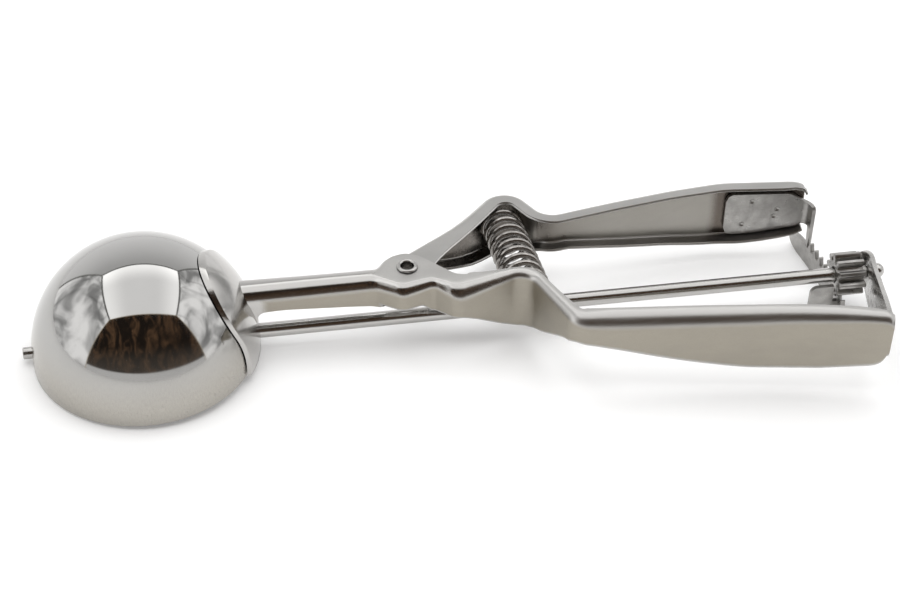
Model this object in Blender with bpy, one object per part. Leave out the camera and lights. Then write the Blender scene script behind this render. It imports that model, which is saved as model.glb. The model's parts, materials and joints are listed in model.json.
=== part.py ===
"""Squeeze-handle ice cream scoop: a round bowl, a fixed and a moving channel handle,
a return spring, and a rack and pinion that turn a scraper blade inside the bowl.

Metres, +Z up. The pieces are laid out on the tool's own axes: X runs along the drive
rod from the bowl to the handle ends and Z points out of the dome. They hang on one
empty, which tips the tool on to the flat surface that it lies on.
"""
import math

import bmesh
import bpy
import numpy
from mathutils import Matrix, Vector

# General fits
GAP = 0.0003                # space between pieces that touch or seat on each other
SHEET = 0.0009              # pressed sheet of both handles
PLATE = 0.0012              # flat plate of the rack and the end bracket
SINK = 0.00005              # step that keeps two joined shapes off one common face
BEND_STEP = math.radians(13.0)
WELD = 0.000002             # points closer than this are one
FAR_STEPS = 3               # facets round the edges of a channel
NEAR_STEPS = 5
LOW_STEPS = 3

# Bowl
BOWL_RADIUS = 0.0290        # outside
BOWL_WALL = 0.0008
RIM_Z = -0.0030             # the skirt runs straight from the half ball to here
BOWL_SIDES = 60
BOWL_RINGS = 14

# Saddle that carries the bowl on the fixed handle
SADDLE_HALF_WIDTH = 0.0142
SADDLE_SHOULDER_Z = 0.0105  # its sides turn into the round top here

# Drive rod
ROD_RADIUS = 0.0020
ROD_START = BOWL_RADIUS - 0.0040
ROD_HEAD_RADIUS = 0.0024    # flattened head inside the bowl
ROD_HEAD_LENGTH = 0.0008
ROD_TIP_RADIUS = 0.0015     # reduced tip that carries the scraper
JOURNAL_RADIUS = 0.0015     # reduced end in the bracket
BUTTON_RADIUS = 0.0021      # domed end behind the bracket

# Scraper
BLADE_CLEARANCE = 0.0006    # to the bowl's inside
BLADE_SHEET = 0.0009
BLADE_HALF_WIDTH = 0.0055
BLADE_EYE_RADIUS = 0.0028
BLADE_END = (0.985, 0.92, 0.75, 0.45)      # stations round each eye, as shares of its radius
BLADE_REST = math.radians(170.0)     # about the rod, from +Y over the dome
TIP_PIN_RADIUS = 0.0016
TIP_PIN_START = 0.0039 - BOWL_RADIUS
TIP_PIN_END = -0.0023 - BOWL_RADIUS
TIP_PIN_HEAD = 0.0025
TIP_PIN_HEAD_LENGTH = 0.0009

# Handle pivot
PIVOT_X = 0.0696
PIVOT_Y = 0.0016
RIVET_RADIUS = 0.0023
RIVET_BORE = 0.0017
RIVET_FLANGE = 0.0028
RIVET_FLANGE_HEIGHT = 0.0005
EAR_RADIUS = 0.0060
MOVING_EAR_RADIUS = 0.0053

# Rack and pinion
MODULE = 0.0010
PINION_TEETH = 10
PITCH_RADIUS = MODULE * PINION_TEETH / 2.0
ROOT_CLEARANCE = 0.00028
BACKLASH = 0.00034          # shared by the two tooth forms, on the pitch line
PINION_SHARE = 0.62         # of the pitch taken by a pinion tooth; the rack has the rest
PRESSURE_ANGLE = math.radians(20.0)
RACK_RADIUS = 0.1190        # about the handle pivot
RACK_X = PIVOT_X + RACK_RADIUS
RACK_FOOT_Z = -0.0120       # lower edge, which the tool lies on
RACK_CRESTS_AHEAD = 6       # towards the moving handle, beside the one under the pinion
RACK_CRESTS_BEHIND = 2
PINION_START = RACK_X - 0.0015
PINION_END = RACK_X + 0.0058

# Leg and foot that hang the rack on the moving handle
LEG_START = 0.0204          # distance of the leg from the rod along the rack
LEG_BEND = LEG_START + 0.0006
LEG_FILLET = 0.0024
LEG_TOP_Z = 0.0072
LOBE_LENGTH = 0.0062        # rack end beyond the leg
LOBE_START = LEG_START + 0.0035
FOOT_END_X = RACK_X - 0.0256
FOOT_TOP_Z = 0.0106
FOOT_CORNER = 0.0030

# Tab beside the rod that stops the opening swing
STOP_START_X = RACK_X - 0.0086
STOP_TOP_Z = -0.0014
STOP_CORNER = 0.0020
STOP_Y = -ROD_RADIUS - GAP

# Handles
TOP_Z = 0.0155              # top of the fixed handle
MOVING_TOP_Z = TOP_Z - SHEET - GAP
EAR_HEIGHT = 0.0077         # fixed handle at the pivot
MOVING_EAR_HEIGHT = EAR_HEIGHT - 2.0 * (SHEET + GAP)
NECK_FAR_RADIUS = 0.0031
NECK_LEG_END_X = 0.0560     # the neck's far leg runs out from here
NECK_END_X = 0.0605         # and its edge folds flat from here
EAR_START_X = 0.0652
NECK_ROOT_X = 0.0296        # the neck's side walls turn down to the rod level here
NECK_ROOT_FILLET = 0.0022
NECK_ROOT_Z = -0.0016
LIP_DEPTH = 0.0029          # lower flange of the fixed handle beside the rod
FAR_RADIUS = 0.0018
FREE_FOLD = 0.06            # a flat flange still falls this much, radians
FREE_LEG = 0.0004
MOVING_LOW_RADIUS = 0.0015

# Return spring
SPRING_WIRE = 0.0016
SPRING_RADIUS = 0.00585     # outside
SPRING_CURLS = 8.5
SPRING_POINTS = 10          # points to a curl
SPRING_NEAR = Vector((0.1012, -0.0036, 0.00843))
SPRING_FAR = Vector((0.0992, 0.0266, 0.00715))

# End bracket: a bowed plate from the handle's end to an eye round the rod
BRACKET_EYE_RADIUS = 0.0057
BRACKET_ROD_X = RACK_X + 0.0084     # middle of the plate on the rod axis
BRACKET_TIP_X = RACK_X + 0.0070     # middle of the plate at the tip of the eye
BRACKET_BEND = (RACK_X + 0.0087, 0.0002)
BRACKET_HANDLE = (RACK_X + 0.0018, -0.0325)
BRACKET_FOOT = 0.0130
BRACKET_CORNER = 0.0022
BRACKET_BOW = 0.0070
BRACKET_UPPER = ((0.0, BRACKET_EYE_RADIUS), (0.0162, 0.0089), (0.0254, 0.0112),
                 (0.0315, 0.0121))     # as (distance from the rod, height)
BRACKET_LOWER = ((0.0, -BRACKET_EYE_RADIUS), (0.0162, -0.0036), (0.0315, 0.0036))
JOURNAL_START = BRACKET_ROD_X - 0.0012
BUTTON_START = BRACKET_ROD_X + 0.0014
BUTTON_END = BUTTON_START + 0.0030

# Plan line of the fixed handle's outer wall as (x, y, corner radius)
FIXED_RAIL = ((0.0235, -0.0035, 0.0), (0.0602, -0.0033, 0.0050), (0.0672, -0.0078, 0.0035),
              (0.0755, -0.0054, 0.0022), (0.0812, -0.0106, 0.0040), (0.1004, -0.0042, 0.0045),
              (0.1089, -0.0261, 0.0064), (0.1420, -0.0296, 0.25), (0.1670, -0.0324, 0.15),
              (0.1810, -0.0350, 0.08), (0.1894, -0.0372, 0.0))
CROSS_END_X = 0.0830        # sections lie square to the rod up to here
TURN_END_X = 0.0950         # and square to the wall from here

# The rest of both handles as (x, value) knots
FIXED_HEIGHTS = ((NECK_ROOT_X, 0.0062), (0.036, 0.0060), (0.042, 0.0063), (0.048, 0.0067),
                 (0.054, 0.0071), (0.0600, 0.0076), (0.0640, EAR_HEIGHT),
                 (0.0722, EAR_HEIGHT), (0.0755, 0.0101), (0.0785, 0.0099), (0.082, 0.0100),
                 (0.086, 0.0117), (0.090, 0.0141), (0.095, 0.0171), (0.0985, 0.0186),
                 (0.1008, 0.0184), (0.1030, 0.0164), (0.1050, 0.0134), (0.1072, 0.0103),
                 (0.1095, 0.0091), (0.113, 0.0097), (0.118, 0.0111), (0.131, 0.0146),
                 (0.144, 0.0174), (0.157, 0.0192), (0.171, 0.0196), (0.178, 0.0191),
                 (0.1835, 0.0184), (0.1862, 0.0179), (0.1876, 0.0172), (0.1886, 0.0161),
                 (0.1894, 0.0143))
FIXED_EDGE = ((0.0235, 0.0046), (0.030, 0.0044), (0.0585, 0.0039), (0.0612, 0.0039),
              (0.0640, 0.0053), (0.0664, 0.0069), (0.0696, EAR_RADIUS + PIVOT_Y), (0.0722, 0.0068),
              (0.0750, 0.0045), (0.0790, 0.0002), (0.0822, -0.0026), (0.0850, -0.0031))
FIXED_DEPTHS = ((0.0850, 0.0065), (0.090, 0.0050), (0.0945, 0.0038), (0.098, 0.0031),
                (0.102, 0.0030), (0.105, 0.0033), (0.1078, 0.0042), (0.111, 0.0052),
                (0.130, 0.0052), (0.166, 0.0048), (0.182, 0.0044), (0.1894, 0.0036))
FIXED_SHOULDER = ((0.036, 0.0031), (0.050, 0.0034), (0.060, 0.0035), (0.066, 0.0034),
                  (0.072, 0.0028), (0.0755, 0.0022), (0.079, 0.0036), (0.083, 0.0042),
                  (0.088, 0.0034), (0.093, 0.0026), (0.098, 0.0020), (0.104, 0.0022),
                  (0.110, 0.0028), (0.125, 0.0031))
FIXED_LOW_RADIUS = ((0.100, 0.0014), (0.125, 0.0028))
MOVING_RAIL = ((0.0666, 0.0064, 0.0), (0.0852, 0.0191, 0.060), (0.1012, 0.0359, 0.0070),
               (0.1102, 0.0198, 0.0055), (0.1300, 0.0238, 0.100), (0.1460, 0.0266, 0.080),
               (0.1612, 0.0281, 0.030), (0.1850, 0.0257, 0.0))
MOVING_HEIGHTS = ((0.0735, MOVING_EAR_HEIGHT), (0.079, 0.0090), (0.084, 0.0119),
                  (0.092, 0.0162), (0.097, 0.0180), (0.102, 0.0178), (0.107, 0.0140),
                  (0.111, 0.0108), (0.115, 0.0106), (0.118, 0.0112), (0.124, 0.0126),
                  (0.130, 0.0140), (0.136, 0.0152), (0.142, 0.0163), (0.148, 0.0174),
                  (0.154, 0.0184), (0.160, 0.0191), (0.166, 0.0193), (0.172, 0.0188),
                  (0.178, 0.0178), (0.1838, 0.0168), (0.1850, 0.0160))
MOVING_DEPTHS = ((0.0663, 0.0103), (0.0718, 0.0088), (0.0754, 0.0074), (0.0811, 0.0060),
                 (0.0865, 0.0052), (0.100, 0.0046), (0.107, 0.0043), (0.125, 0.0044),
                 (0.142, 0.0046), (0.158, 0.0048), (0.178, 0.0050), (0.185, 0.0044))
MOVING_SHOULDER = ((0.075, 0.0014), (0.095, 0.0018), (0.113, 0.0018), (0.150, 0.0024))

FINISHES = {
    "mirror_steel": ((0.78, 0.78, 0.77, 1.0), 0.08),
    "polished_steel": ((0.70, 0.70, 0.69, 1.0), 0.18),
    "spring_steel": ((0.52, 0.51, 0.50, 1.0), 0.25),
    "gear_steel": ((0.46, 0.45, 0.43, 1.0), 0.30),
}


def clear_scene():
    for item in list(bpy.data.objects):
        bpy.data.objects.remove(item, do_unlink=True)


def material(node, finish):
    colour, roughness = FINISHES[finish]
    made = bpy.data.materials.new(node + "_" + finish)
    made.use_nodes = True
    shader = made.node_tree.nodes["Principled BSDF"]
    shader.inputs["Base Color"].default_value = colour
    shader.inputs["Metallic"].default_value = 1.0
    shader.inputs["Roughness"].default_value = roughness
    return made


def empty(name, parent, location=(0.0, 0.0, 0.0)):
    made = bpy.data.objects.new(name, None)
    bpy.context.collection.objects.link(made)
    made.parent = parent
    made.location = location
    return made


def mesh_object(name, points, faces):
    mesh = bpy.data.meshes.new(name)
    mesh.from_pydata([tuple(p) for p in points], [], faces)
    mesh.validate()
    made = bpy.data.objects.new(name, mesh)
    bpy.context.collection.objects.link(made)
    work = bmesh.new()
    work.from_mesh(mesh)
    bmesh.ops.recalc_face_normals(work, faces=work.faces)
    work.to_mesh(mesh)
    work.free()
    return made


def apply_modifiers(item):
    graph = bpy.context.evaluated_depsgraph_get()
    baked = bpy.data.meshes.new_from_object(item.evaluated_get(graph))
    item.modifiers.clear()
    old = item.data
    item.data = baked
    bpy.data.meshes.remove(old)


def combine(item, other, operation):
    """One exact boolean of item with other, which is used up."""
    other.display_type = "WIRE"
    other.hide_render = True
    step = item.modifiers.new(operation.lower(), "BOOLEAN")
    step.operation = operation
    step.solver = "EXACT"
    step.object = other
    bpy.context.view_layer.update()
    apply_modifiers(item)
    bpy.data.objects.remove(other, do_unlink=True)


def finish(item, node, finish_name, parent, sharp=35.0):
    """Name, shade, colour and hang one finished piece."""
    item.name = node
    item.data.name = node
    item.data.materials.clear()
    item.data.materials.append(material(node, finish_name))
    work = bmesh.new()
    work.from_mesh(item.data)
    bmesh.ops.remove_doubles(work, verts=work.verts, dist=WELD)
    bmesh.ops.dissolve_degenerate(work, edges=work.edges, dist=WELD)
    work.to_mesh(item.data)
    work.free()
    item.data.shade_smooth()
    item.data.set_sharp_from_angle(angle=math.radians(sharp))
    if parent.parent:
        item.data.transform(Matrix.Translation(-parent.location))
    item.parent = parent
    return item


def curve(knots, at):
    """Smooth curve through (position, value) knots, flat beyond both ends."""
    xs = [k[0] for k in knots]
    ys = [k[1] for k in knots]
    if at <= xs[0]:
        return ys[0]
    if at >= xs[-1]:
        return ys[-1]
    i = int(numpy.searchsorted(xs, at, side="right")) - 1
    width = xs[i + 1] - xs[i]
    rise = (ys[i + 1] - ys[i]) / width

    def slope(j):
        if j == 0 or j == len(xs) - 1:
            return 0.0
        before = (ys[j] - ys[j - 1]) / (xs[j] - xs[j - 1])
        after = (ys[j + 1] - ys[j]) / (xs[j + 1] - xs[j])
        if before * after <= 0.0:
            return 0.0
        return 2.0 * before * after / (before + after)

    t = (at - xs[i]) / width
    start, end = slope(i) * width, slope(i + 1) * width
    low = ys[i] + t * start + t * t * (3.0 * rise * width - 2.0 * start - end)
    return low + t * t * t * (start + end - 2.0 * rise * width)


def rail(corners, spacing):
    """Stations (point, direction) along straight runs joined by round corners.

    corners holds (x, y, radius); spacing(x) gives the longest straight step there."""
    points = [Vector((c[0], c[1])) for c in corners]
    runs = []
    start = points[0]
    for before, here, after, corner in zip(points, points[1:], points[2:], corners[1:]):
        into = (here - before).normalized()
        out = (after - here).normalized()
        turn = into.angle_signed(out)
        reach = corner[2] * math.tan(abs(turn) / 2.0)
        first, last = here - into * reach, here + out * reach
        runs.append(("line", start, first))
        runs.append(("arc", first, into, -turn, corner[2]))
        start = last
    runs.append(("line", start, points[-1]))
    stations = []
    for run in runs:
        if run[0] == "line":
            along = (run[2] - run[1]).normalized()
            length = (run[2] - run[1]).length
            done = 0.0
            while done < length - spacing(run[1].x + along.x * done) * 0.4:
                stations.append((run[1] + along * done, along))
                done += spacing(run[1].x + along.x * done)
        else:
            first, into, turn, radius = run[1:]
            side = 1.0 if turn > 0.0 else -1.0
            centre = first + Vector((-into.y, into.x)) * radius * side
            steps = max(2, math.ceil(abs(turn) / BEND_STEP))
            for i in range(steps):
                spin = Matrix.Rotation(turn * i / steps, 2)
                stations.append((centre + spin @ (first - centre), spin @ into))
    stations.append((points[-1], (points[-1] - points[-2]).normalized()))
    return stations


def skin(name, rings):
    """Closed surface over rings of equal point counts, flat at both ends."""
    count = len(rings[0])
    points = [p for ring in rings for p in ring]
    faces = [tuple(range(count)), tuple(range(len(points) - 1, len(points) - count - 1, -1))]
    for i in range(len(rings) - 1):
        for j in range(count):
            k = (j + 1) % count
            faces.append((i * count + j, i * count + k, (i + 1) * count + k, (i + 1) * count + j))
    return mesh_object(name, points, faces)


def oval_points(centre, wide, high, start, sweep, steps):
    angles = [start + sweep * i / steps for i in range(steps + 1)]
    return [(centre[0] + wide * math.cos(a), centre[1] + high * math.sin(a)) for a in angles]


def arc_points(centre, radius, start, sweep, steps):
    return oval_points(centre, radius, radius, start, sweep, steps)


def left_of(along):
    return Vector((-along.y, along.x))


def channel_ring(point, along, outward, top, form):
    """Ring of one channel station. outward points from the wall to the open side."""
    square = abs(along.x * outward.y - along.y * outward.x)
    far_r, near_r, low_r = form["far_radius"], form["near_radius"], form["low_radius"]
    fold, low_fold = form["fold"], form["low_fold"]
    leg, lip = form["leg"], form["lip"]
    far = form["depth"] - far_r * math.sin(fold) - leg * math.cos(fold)
    low = top - form["height"]
    loops = []
    for inset in (0.0, SHEET):
        line = arc_points((far, top - far_r), far_r - inset, math.pi / 2 - fold, fold, FAR_STEPS)
        end = (math.cos(fold) * leg, -math.sin(fold) * leg)
        line.insert(0, (line[0][0] + end[0], line[0][1] + end[1]))
        wide = inset / square
        line += oval_points((near_r, top - near_r), near_r - wide, near_r - inset, math.pi / 2,
                            math.pi / 2, NEAR_STEPS)
        line += oval_points((low_r, low + low_r), low_r - wide, low_r - inset, math.pi, low_fold,
                            LOW_STEPS)
        end = (math.sin(low_fold) * lip, -math.cos(low_fold) * lip)
        line.append((line[-1][0] + end[0], line[-1][1] + end[1]))
        loops.append(line)
    ring = loops[0] + loops[1][::-1]
    return [(point.x + outward.x * u, point.y + outward.y * u, z) for u, z in ring]


def turned(name, profile, axis, sides):
    """Solid turned from (along, radius) points around the X or Z axis."""
    work = bmesh.new()
    line = [work.verts.new((r, 0.0, a)) for a, r in profile]
    edges = [work.edges.new(pair) for pair in zip(line, line[1:])]
    if profile[0][1] > 0.0 and profile[-1][1] > 0.0:
        edges.append(work.edges.new((line[-1], line[0])))
    bmesh.ops.spin(work, geom=line + edges, cent=(0.0, 0.0, 0.0), axis=(0.0, 0.0, 1.0),
                   angle=math.tau, steps=sides, use_merge=True)
    bmesh.ops.remove_doubles(work, verts=work.verts, dist=WELD)
    bmesh.ops.recalc_face_normals(work, faces=work.faces)
    mesh = bpy.data.meshes.new(name)
    work.to_mesh(mesh)
    work.free()
    if axis == "X":
        mesh.transform(Matrix.Rotation(math.pi / 2.0, 4, "Y"))
    made = bpy.data.objects.new(name, mesh)
    bpy.context.collection.objects.link(made)
    return made


def pin(name, radius, start, end, axis, sides=24, at=(0.0, 0.0, 0.0)):
    """Plain cylinder between two positions on an axis."""
    made = turned(name, [(end, 0.0), (end, radius), (start, radius), (start, 0.0)], axis, sides)
    made.data.transform(Matrix.Translation(at))
    return made


def prism(name, outline, start, end, axis):
    """Solid between two parallel planes. The outline is (y, z) for X and (x, y) for Z."""
    if axis == "X":
        rings = [[(x, a, b) for a, b in outline] for x in (start, end)]
    else:
        rings = [[(a, b, z) for a, b in outline] for z in (start, end)]
    return skin(name, rings)


def dome(name, radius, foot):
    """Half ball on a straight skirt."""
    angles = [math.pi / 2.0 * (1.0 - i / BOWL_RINGS) for i in range(BOWL_RINGS + 1)]
    profile = [(radius * math.sin(a), max(0.0, radius * math.cos(a))) for a in angles]
    profile[0] = (radius, 0.0)
    return turned(name, profile + [(foot, radius), (foot, 0.0)], "Z", BOWL_SIDES)


def build_bowl(root):
    bowl = dome("bowl", BOWL_RADIUS, RIM_Z)
    inside = BOWL_RADIUS - BOWL_WALL
    combine(bowl, dome("hollow", inside, RIM_Z - BOWL_WALL), "DIFFERENCE")
    combine(bowl, pin("rod_hole", ROD_RADIUS + GAP, inside / 2.0, BOWL_RADIUS * 1.2, "X"),
            "DIFFERENCE")
    combine(bowl, pin("tip_hole", TIP_PIN_RADIUS + GAP, -BOWL_RADIUS * 1.2, -inside / 2.0, "X"),
            "DIFFERENCE")
    return finish(bowl, "bowl", "mirror_steel", root)


def saddle():
    """Round-topped patch that lies on the bowl."""
    inner = BOWL_RADIUS + GAP
    patch = dome("saddle", inner + SHEET, RIM_Z + GAP)
    combine(patch, dome("saddle_inside", inner, RIM_Z - BOWL_WALL), "DIFFERENCE")
    half = SADDLE_HALF_WIDTH
    arch = [(half, RIM_Z * 2.0)] + arc_points((0.0, SADDLE_SHOULDER_Z), half, 0.0, math.pi, 16)
    arch.append((-half, RIM_Z * 2.0))
    combine(patch, prism("arch", arch, BOWL_RADIUS * 0.2, BOWL_RADIUS * 1.3, "X"), "INTERSECT")
    return patch


def fixed_height(x):
    """Height of the fixed handle, whose walls turn down to the rod beside the bowl."""
    if x <= NECK_ROOT_X:
        return TOP_Z - NECK_ROOT_Z
    height = curve(FIXED_HEIGHTS, x)
    run = NECK_ROOT_X + NECK_ROOT_FILLET - x
    if run <= 0.0:
        return height
    return height + NECK_ROOT_FILLET - math.sqrt(NECK_ROOT_FILLET ** 2 - run ** 2)


def fixed_outward(point, along):
    """Section direction: square to the rod round the pivot, square to the wall behind it."""
    if point.x < CROSS_END_X:
        return Vector((0.0, 1.0))
    share = min(1.0, (point.x - CROSS_END_X) / (TURN_END_X - CROSS_END_X))
    return Vector((0.0, 1.0)).lerp(left_of(along), share).normalized()


def ear_edge(x):
    """Free edge of the lower ear, round about the pivot."""
    inside = EAR_RADIUS ** 2 - (x - PIVOT_X) ** 2
    return PIVOT_Y + math.sqrt(inside) if inside > 0.0 else -1.0


def fixed_form(point):
    x = point.x
    height = fixed_height(x)
    far_radius = curve(((NECK_END_X, NECK_FAR_RADIUS), (EAR_START_X, FAR_RADIUS)), x)
    neck_leg = height - 2.0 * GAP - far_radius
    depth = curve(FIXED_DEPTHS, x)
    if x < FIXED_EDGE[-1][0]:
        depth = curve(FIXED_EDGE, x) - point.y
    lip = max(LIP_DEPTH, ear_edge(x) - point.y)
    low_radius = curve(FIXED_LOW_RADIUS, x)
    return {
        "far_radius": far_radius,
        "near_radius": curve(FIXED_SHOULDER, x),
        "low_radius": low_radius,
        "fold": curve(((NECK_END_X, math.pi / 2.0), (EAR_START_X, FREE_FOLD)), x),
        "low_fold": curve(((NECK_END_X, FREE_FOLD), (EAR_START_X, math.pi / 2.0)), x),
        "leg": curve(((NECK_LEG_END_X, neck_leg), (NECK_END_X, FREE_LEG)), x),
        "lip": curve(((NECK_END_X, FREE_LEG), (EAR_START_X, lip - low_radius)), x),
        "depth": depth,
        "height": height,
    }


def fixed_spacing(x):
    if x < NECK_ROOT_X + NECK_ROOT_FILLET:
        return 0.0008
    if x < NECK_LEG_END_X:
        return 0.0090
    if x < CROSS_END_X:
        return 0.0014
    if x < TURN_END_X:
        return 0.0024
    if x > 0.1850:
        return 0.0010
    return 0.0060


def build_fixed_handle(root):
    rings = []
    for point, along in rail(FIXED_RAIL, fixed_spacing):
        outward = fixed_outward(point, along)
        rings.append(channel_ring(point, along, outward, TOP_Z, fixed_form(point)))
    handle = skin("fixed_handle", rings)
    combine(handle, dome("bowl_room", BOWL_RADIUS + GAP + SHEET / 2.0, RIM_Z * 2.0), "DIFFERENCE")
    combine(handle, saddle(), "UNION")
    combine(handle, pin("rod_room", ROD_RADIUS + GAP, BOWL_RADIUS / 2.0, BOWL_RADIUS * 1.3, "X"),
            "DIFFERENCE")
    combine(handle, pin("rivet_hole", RIVET_RADIUS + GAP, 0.0, TOP_Z * 2.0, "Z",
                        at=(PIVOT_X, PIVOT_Y, 0.0)), "DIFFERENCE")
    return finish(handle, "fixed_handle", "polished_steel", root)


def moving_form(x):
    depth = curve(MOVING_DEPTHS, x)
    low_depth = depth if x > 0.0865 else curve(((0.0718, 0.0095), (0.0790, 0.0050)), x)
    return {
        "far_radius": FAR_RADIUS,
        "near_radius": curve(MOVING_SHOULDER, x),
        "low_radius": MOVING_LOW_RADIUS,
        "fold": FREE_FOLD,
        "low_fold": math.pi / 2.0,
        "leg": FREE_LEG,
        "lip": low_depth - MOVING_LOW_RADIUS,
        "depth": depth,
        "height": curve(MOVING_HEIGHTS, x),
    }


def moving_spacing(x):
    if x < 0.09:
        return 0.0022
    return 0.0060 if x < 0.183 else 0.0012


def build_moving_handle(hinge):
    rings = []
    for point, along in rail(MOVING_RAIL, moving_spacing):
        rings.append(channel_ring(point, along, -left_of(along), MOVING_TOP_Z,
                                  moving_form(point.x)))
    handle = skin("moving_handle", rings)
    at = (PIVOT_X, PIVOT_Y, 0.0)
    for low in (MOVING_TOP_Z - SHEET, MOVING_TOP_Z - MOVING_EAR_HEIGHT):
        eye = pin("eye", MOVING_EAR_RADIUS, low + SINK, low + SHEET - SINK, "Z", 32, at)
        combine(handle, eye, "UNION")
    combine(handle, pin("rivet_hole", RIVET_RADIUS + GAP, 0.0, TOP_Z * 2.0, "Z", at=at),
            "DIFFERENCE")
    return finish(handle, "moving_handle", "polished_steel", hinge)


def build_rivet(root):
    """Hollow rivet through the four ears, rolled over at both ends."""
    high, low = TOP_Z + GAP, TOP_Z - EAR_HEIGHT - GAP
    lift = RIVET_FLANGE_HEIGHT
    edge = RIVET_FLANGE - lift / 2.0
    profile = [(high + lift, RIVET_BORE + lift / 2.0), (high + lift, edge),
               (high + lift * 0.6, RIVET_FLANGE), (high, RIVET_FLANGE), (high, RIVET_RADIUS),
               (low, RIVET_RADIUS), (low, RIVET_FLANGE), (low - lift * 0.6, RIVET_FLANGE),
               (low - lift, edge), (low - lift, RIVET_BORE + lift / 2.0),
               (low - lift * 0.4, RIVET_BORE), (high + lift * 0.4, RIVET_BORE)]
    rivet = turned("pivot_rivet", profile, "Z", 28)
    rivet.data.transform(Matrix.Translation((PIVOT_X, PIVOT_Y, 0.0)))
    return finish(rivet, "pivot_rivet", "polished_steel", root)


def build_spring(root):
    """Compression spring from one handle to the other, over the drive rod."""
    axis = SPRING_FAR - SPRING_NEAR
    length = axis.length
    axis.normalize()
    across = axis.cross(Vector((0.0, 0.0, 1.0))).normalized()
    upward = across.cross(axis)
    middle = SPRING_RADIUS - SPRING_WIRE / 2.0
    end = SPRING_WIRE / 2.0
    count = round(SPRING_CURLS * SPRING_POINTS)
    points = []
    for i in range(count + 1):
        turn = math.tau * SPRING_CURLS * i / count
        along = end + (length - 2.0 * end) * i / count
        points.append(SPRING_NEAR + axis * along
                      + (across * math.cos(turn) + upward * math.sin(turn)) * middle)
    points.insert(0, points[0] - upward * SPRING_WIRE)
    last = math.tau * SPRING_CURLS
    points.append(points[-1] + (upward * math.cos(last) - across * math.sin(last)) * SPRING_WIRE)
    line = bpy.data.curves.new("handle_spring", "CURVE")
    line.dimensions = "3D"
    strand = line.splines.new("POLY")
    strand.points.add(len(points) - 1)
    for place, point in zip(strand.points, points):
        place.co = (*point, 1.0)
    line.bevel_depth = SPRING_WIRE / 2.0
    line.bevel_resolution = 1
    line.use_fill_caps = True
    spring = bpy.data.objects.new("handle_spring", line)
    bpy.context.collection.objects.link(spring)
    bpy.context.view_layer.update()
    graph = bpy.context.evaluated_depsgraph_get()
    mesh = bpy.data.meshes.new_from_object(spring.evaluated_get(graph))
    bpy.data.objects.remove(spring, do_unlink=True)
    made = bpy.data.objects.new("handle_spring", mesh)
    bpy.context.collection.objects.link(made)
    print("spring gap to itself, mm", round(self_gap(points) * 1000.0, 3))
    return finish(made, "handle_spring", "spring_steel", root, 60.0)


def self_gap(points):
    """Least space between strands of a wire that are over half a curl apart."""
    line = numpy.array([tuple(p) for p in points])
    least = 1.0
    for i in range(len(line)):
        others = line[i + SPRING_POINTS // 2 + 1:]
        if len(others):
            least = min(least, float(numpy.linalg.norm(others - line[i], axis=1).min()))
    return least - SPRING_WIRE


def arc_station(along, radius=RACK_RADIUS):
    """Point and direction on the rack's arc, measured from above the rod."""
    start = math.asin(-PIVOT_Y / radius)
    angle = start + along / RACK_RADIUS
    point = Vector((PIVOT_X + radius * math.cos(angle), PIVOT_Y + radius * math.sin(angle)))
    return point, Vector((-math.sin(angle), math.cos(angle)))


def plate_ring(point, along, low, high, thickness=PLATE):
    half = Vector((-along.y, along.x)) * thickness / 2.0
    a, b = point + half, point - half
    return [(a.x, a.y, low), (b.x, b.y, low), (b.x, b.y, high), (a.x, a.y, high)]


def rack_outline():
    """Upper edge of the rack as (distance along it, height): straight-sided teeth."""
    pitch = math.pi * MODULE
    crest_z = -PITCH_RADIUS + MODULE
    root_z = -PITCH_RADIUS - MODULE - ROOT_CLEARANCE
    lean = math.tan(PRESSURE_ANGLE)
    crest = pitch * (1.0 - PINION_SHARE) / 2.0 - BACKLASH / 4.0 - MODULE * lean
    root = crest + (crest_z - root_z) * lean
    edge = [(-pitch * (RACK_CRESTS_BEHIND + 0.5), root_z)]
    for k in range(-RACK_CRESTS_BEHIND, RACK_CRESTS_AHEAD + 1):
        middle = k * pitch
        edge += [(middle - root, root_z), (middle - crest, crest_z),
                 (middle + crest, crest_z), (middle + root, root_z)]
    return edge


def build_rack(hinge):
    rings = [plate_ring(*arc_station(s), RACK_FOOT_Z, z) for s, z in rack_outline()]
    shelf = rack_outline()[-1][1]
    rings.append(plate_ring(*arc_station(LOBE_START), RACK_FOOT_Z, shelf))
    for i in range(7):
        angle = math.pi / 2.0 * i / 6.0 * 0.94
        run = LOBE_START + LOBE_LENGTH * math.sin(angle)
        shrink = (shelf - RACK_FOOT_Z) / 2.0 * (1.0 - math.cos(angle))
        if i:
            rings.append(plate_ring(*arc_station(run), RACK_FOOT_Z + shrink, shelf - shrink))
    rack = skin("rack", rings)
    combine(rack, rack_leg(), "UNION")
    combine(rack, rack_stop(), "UNION")
    return finish(rack, "rack", "gear_steel", hinge)


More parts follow.
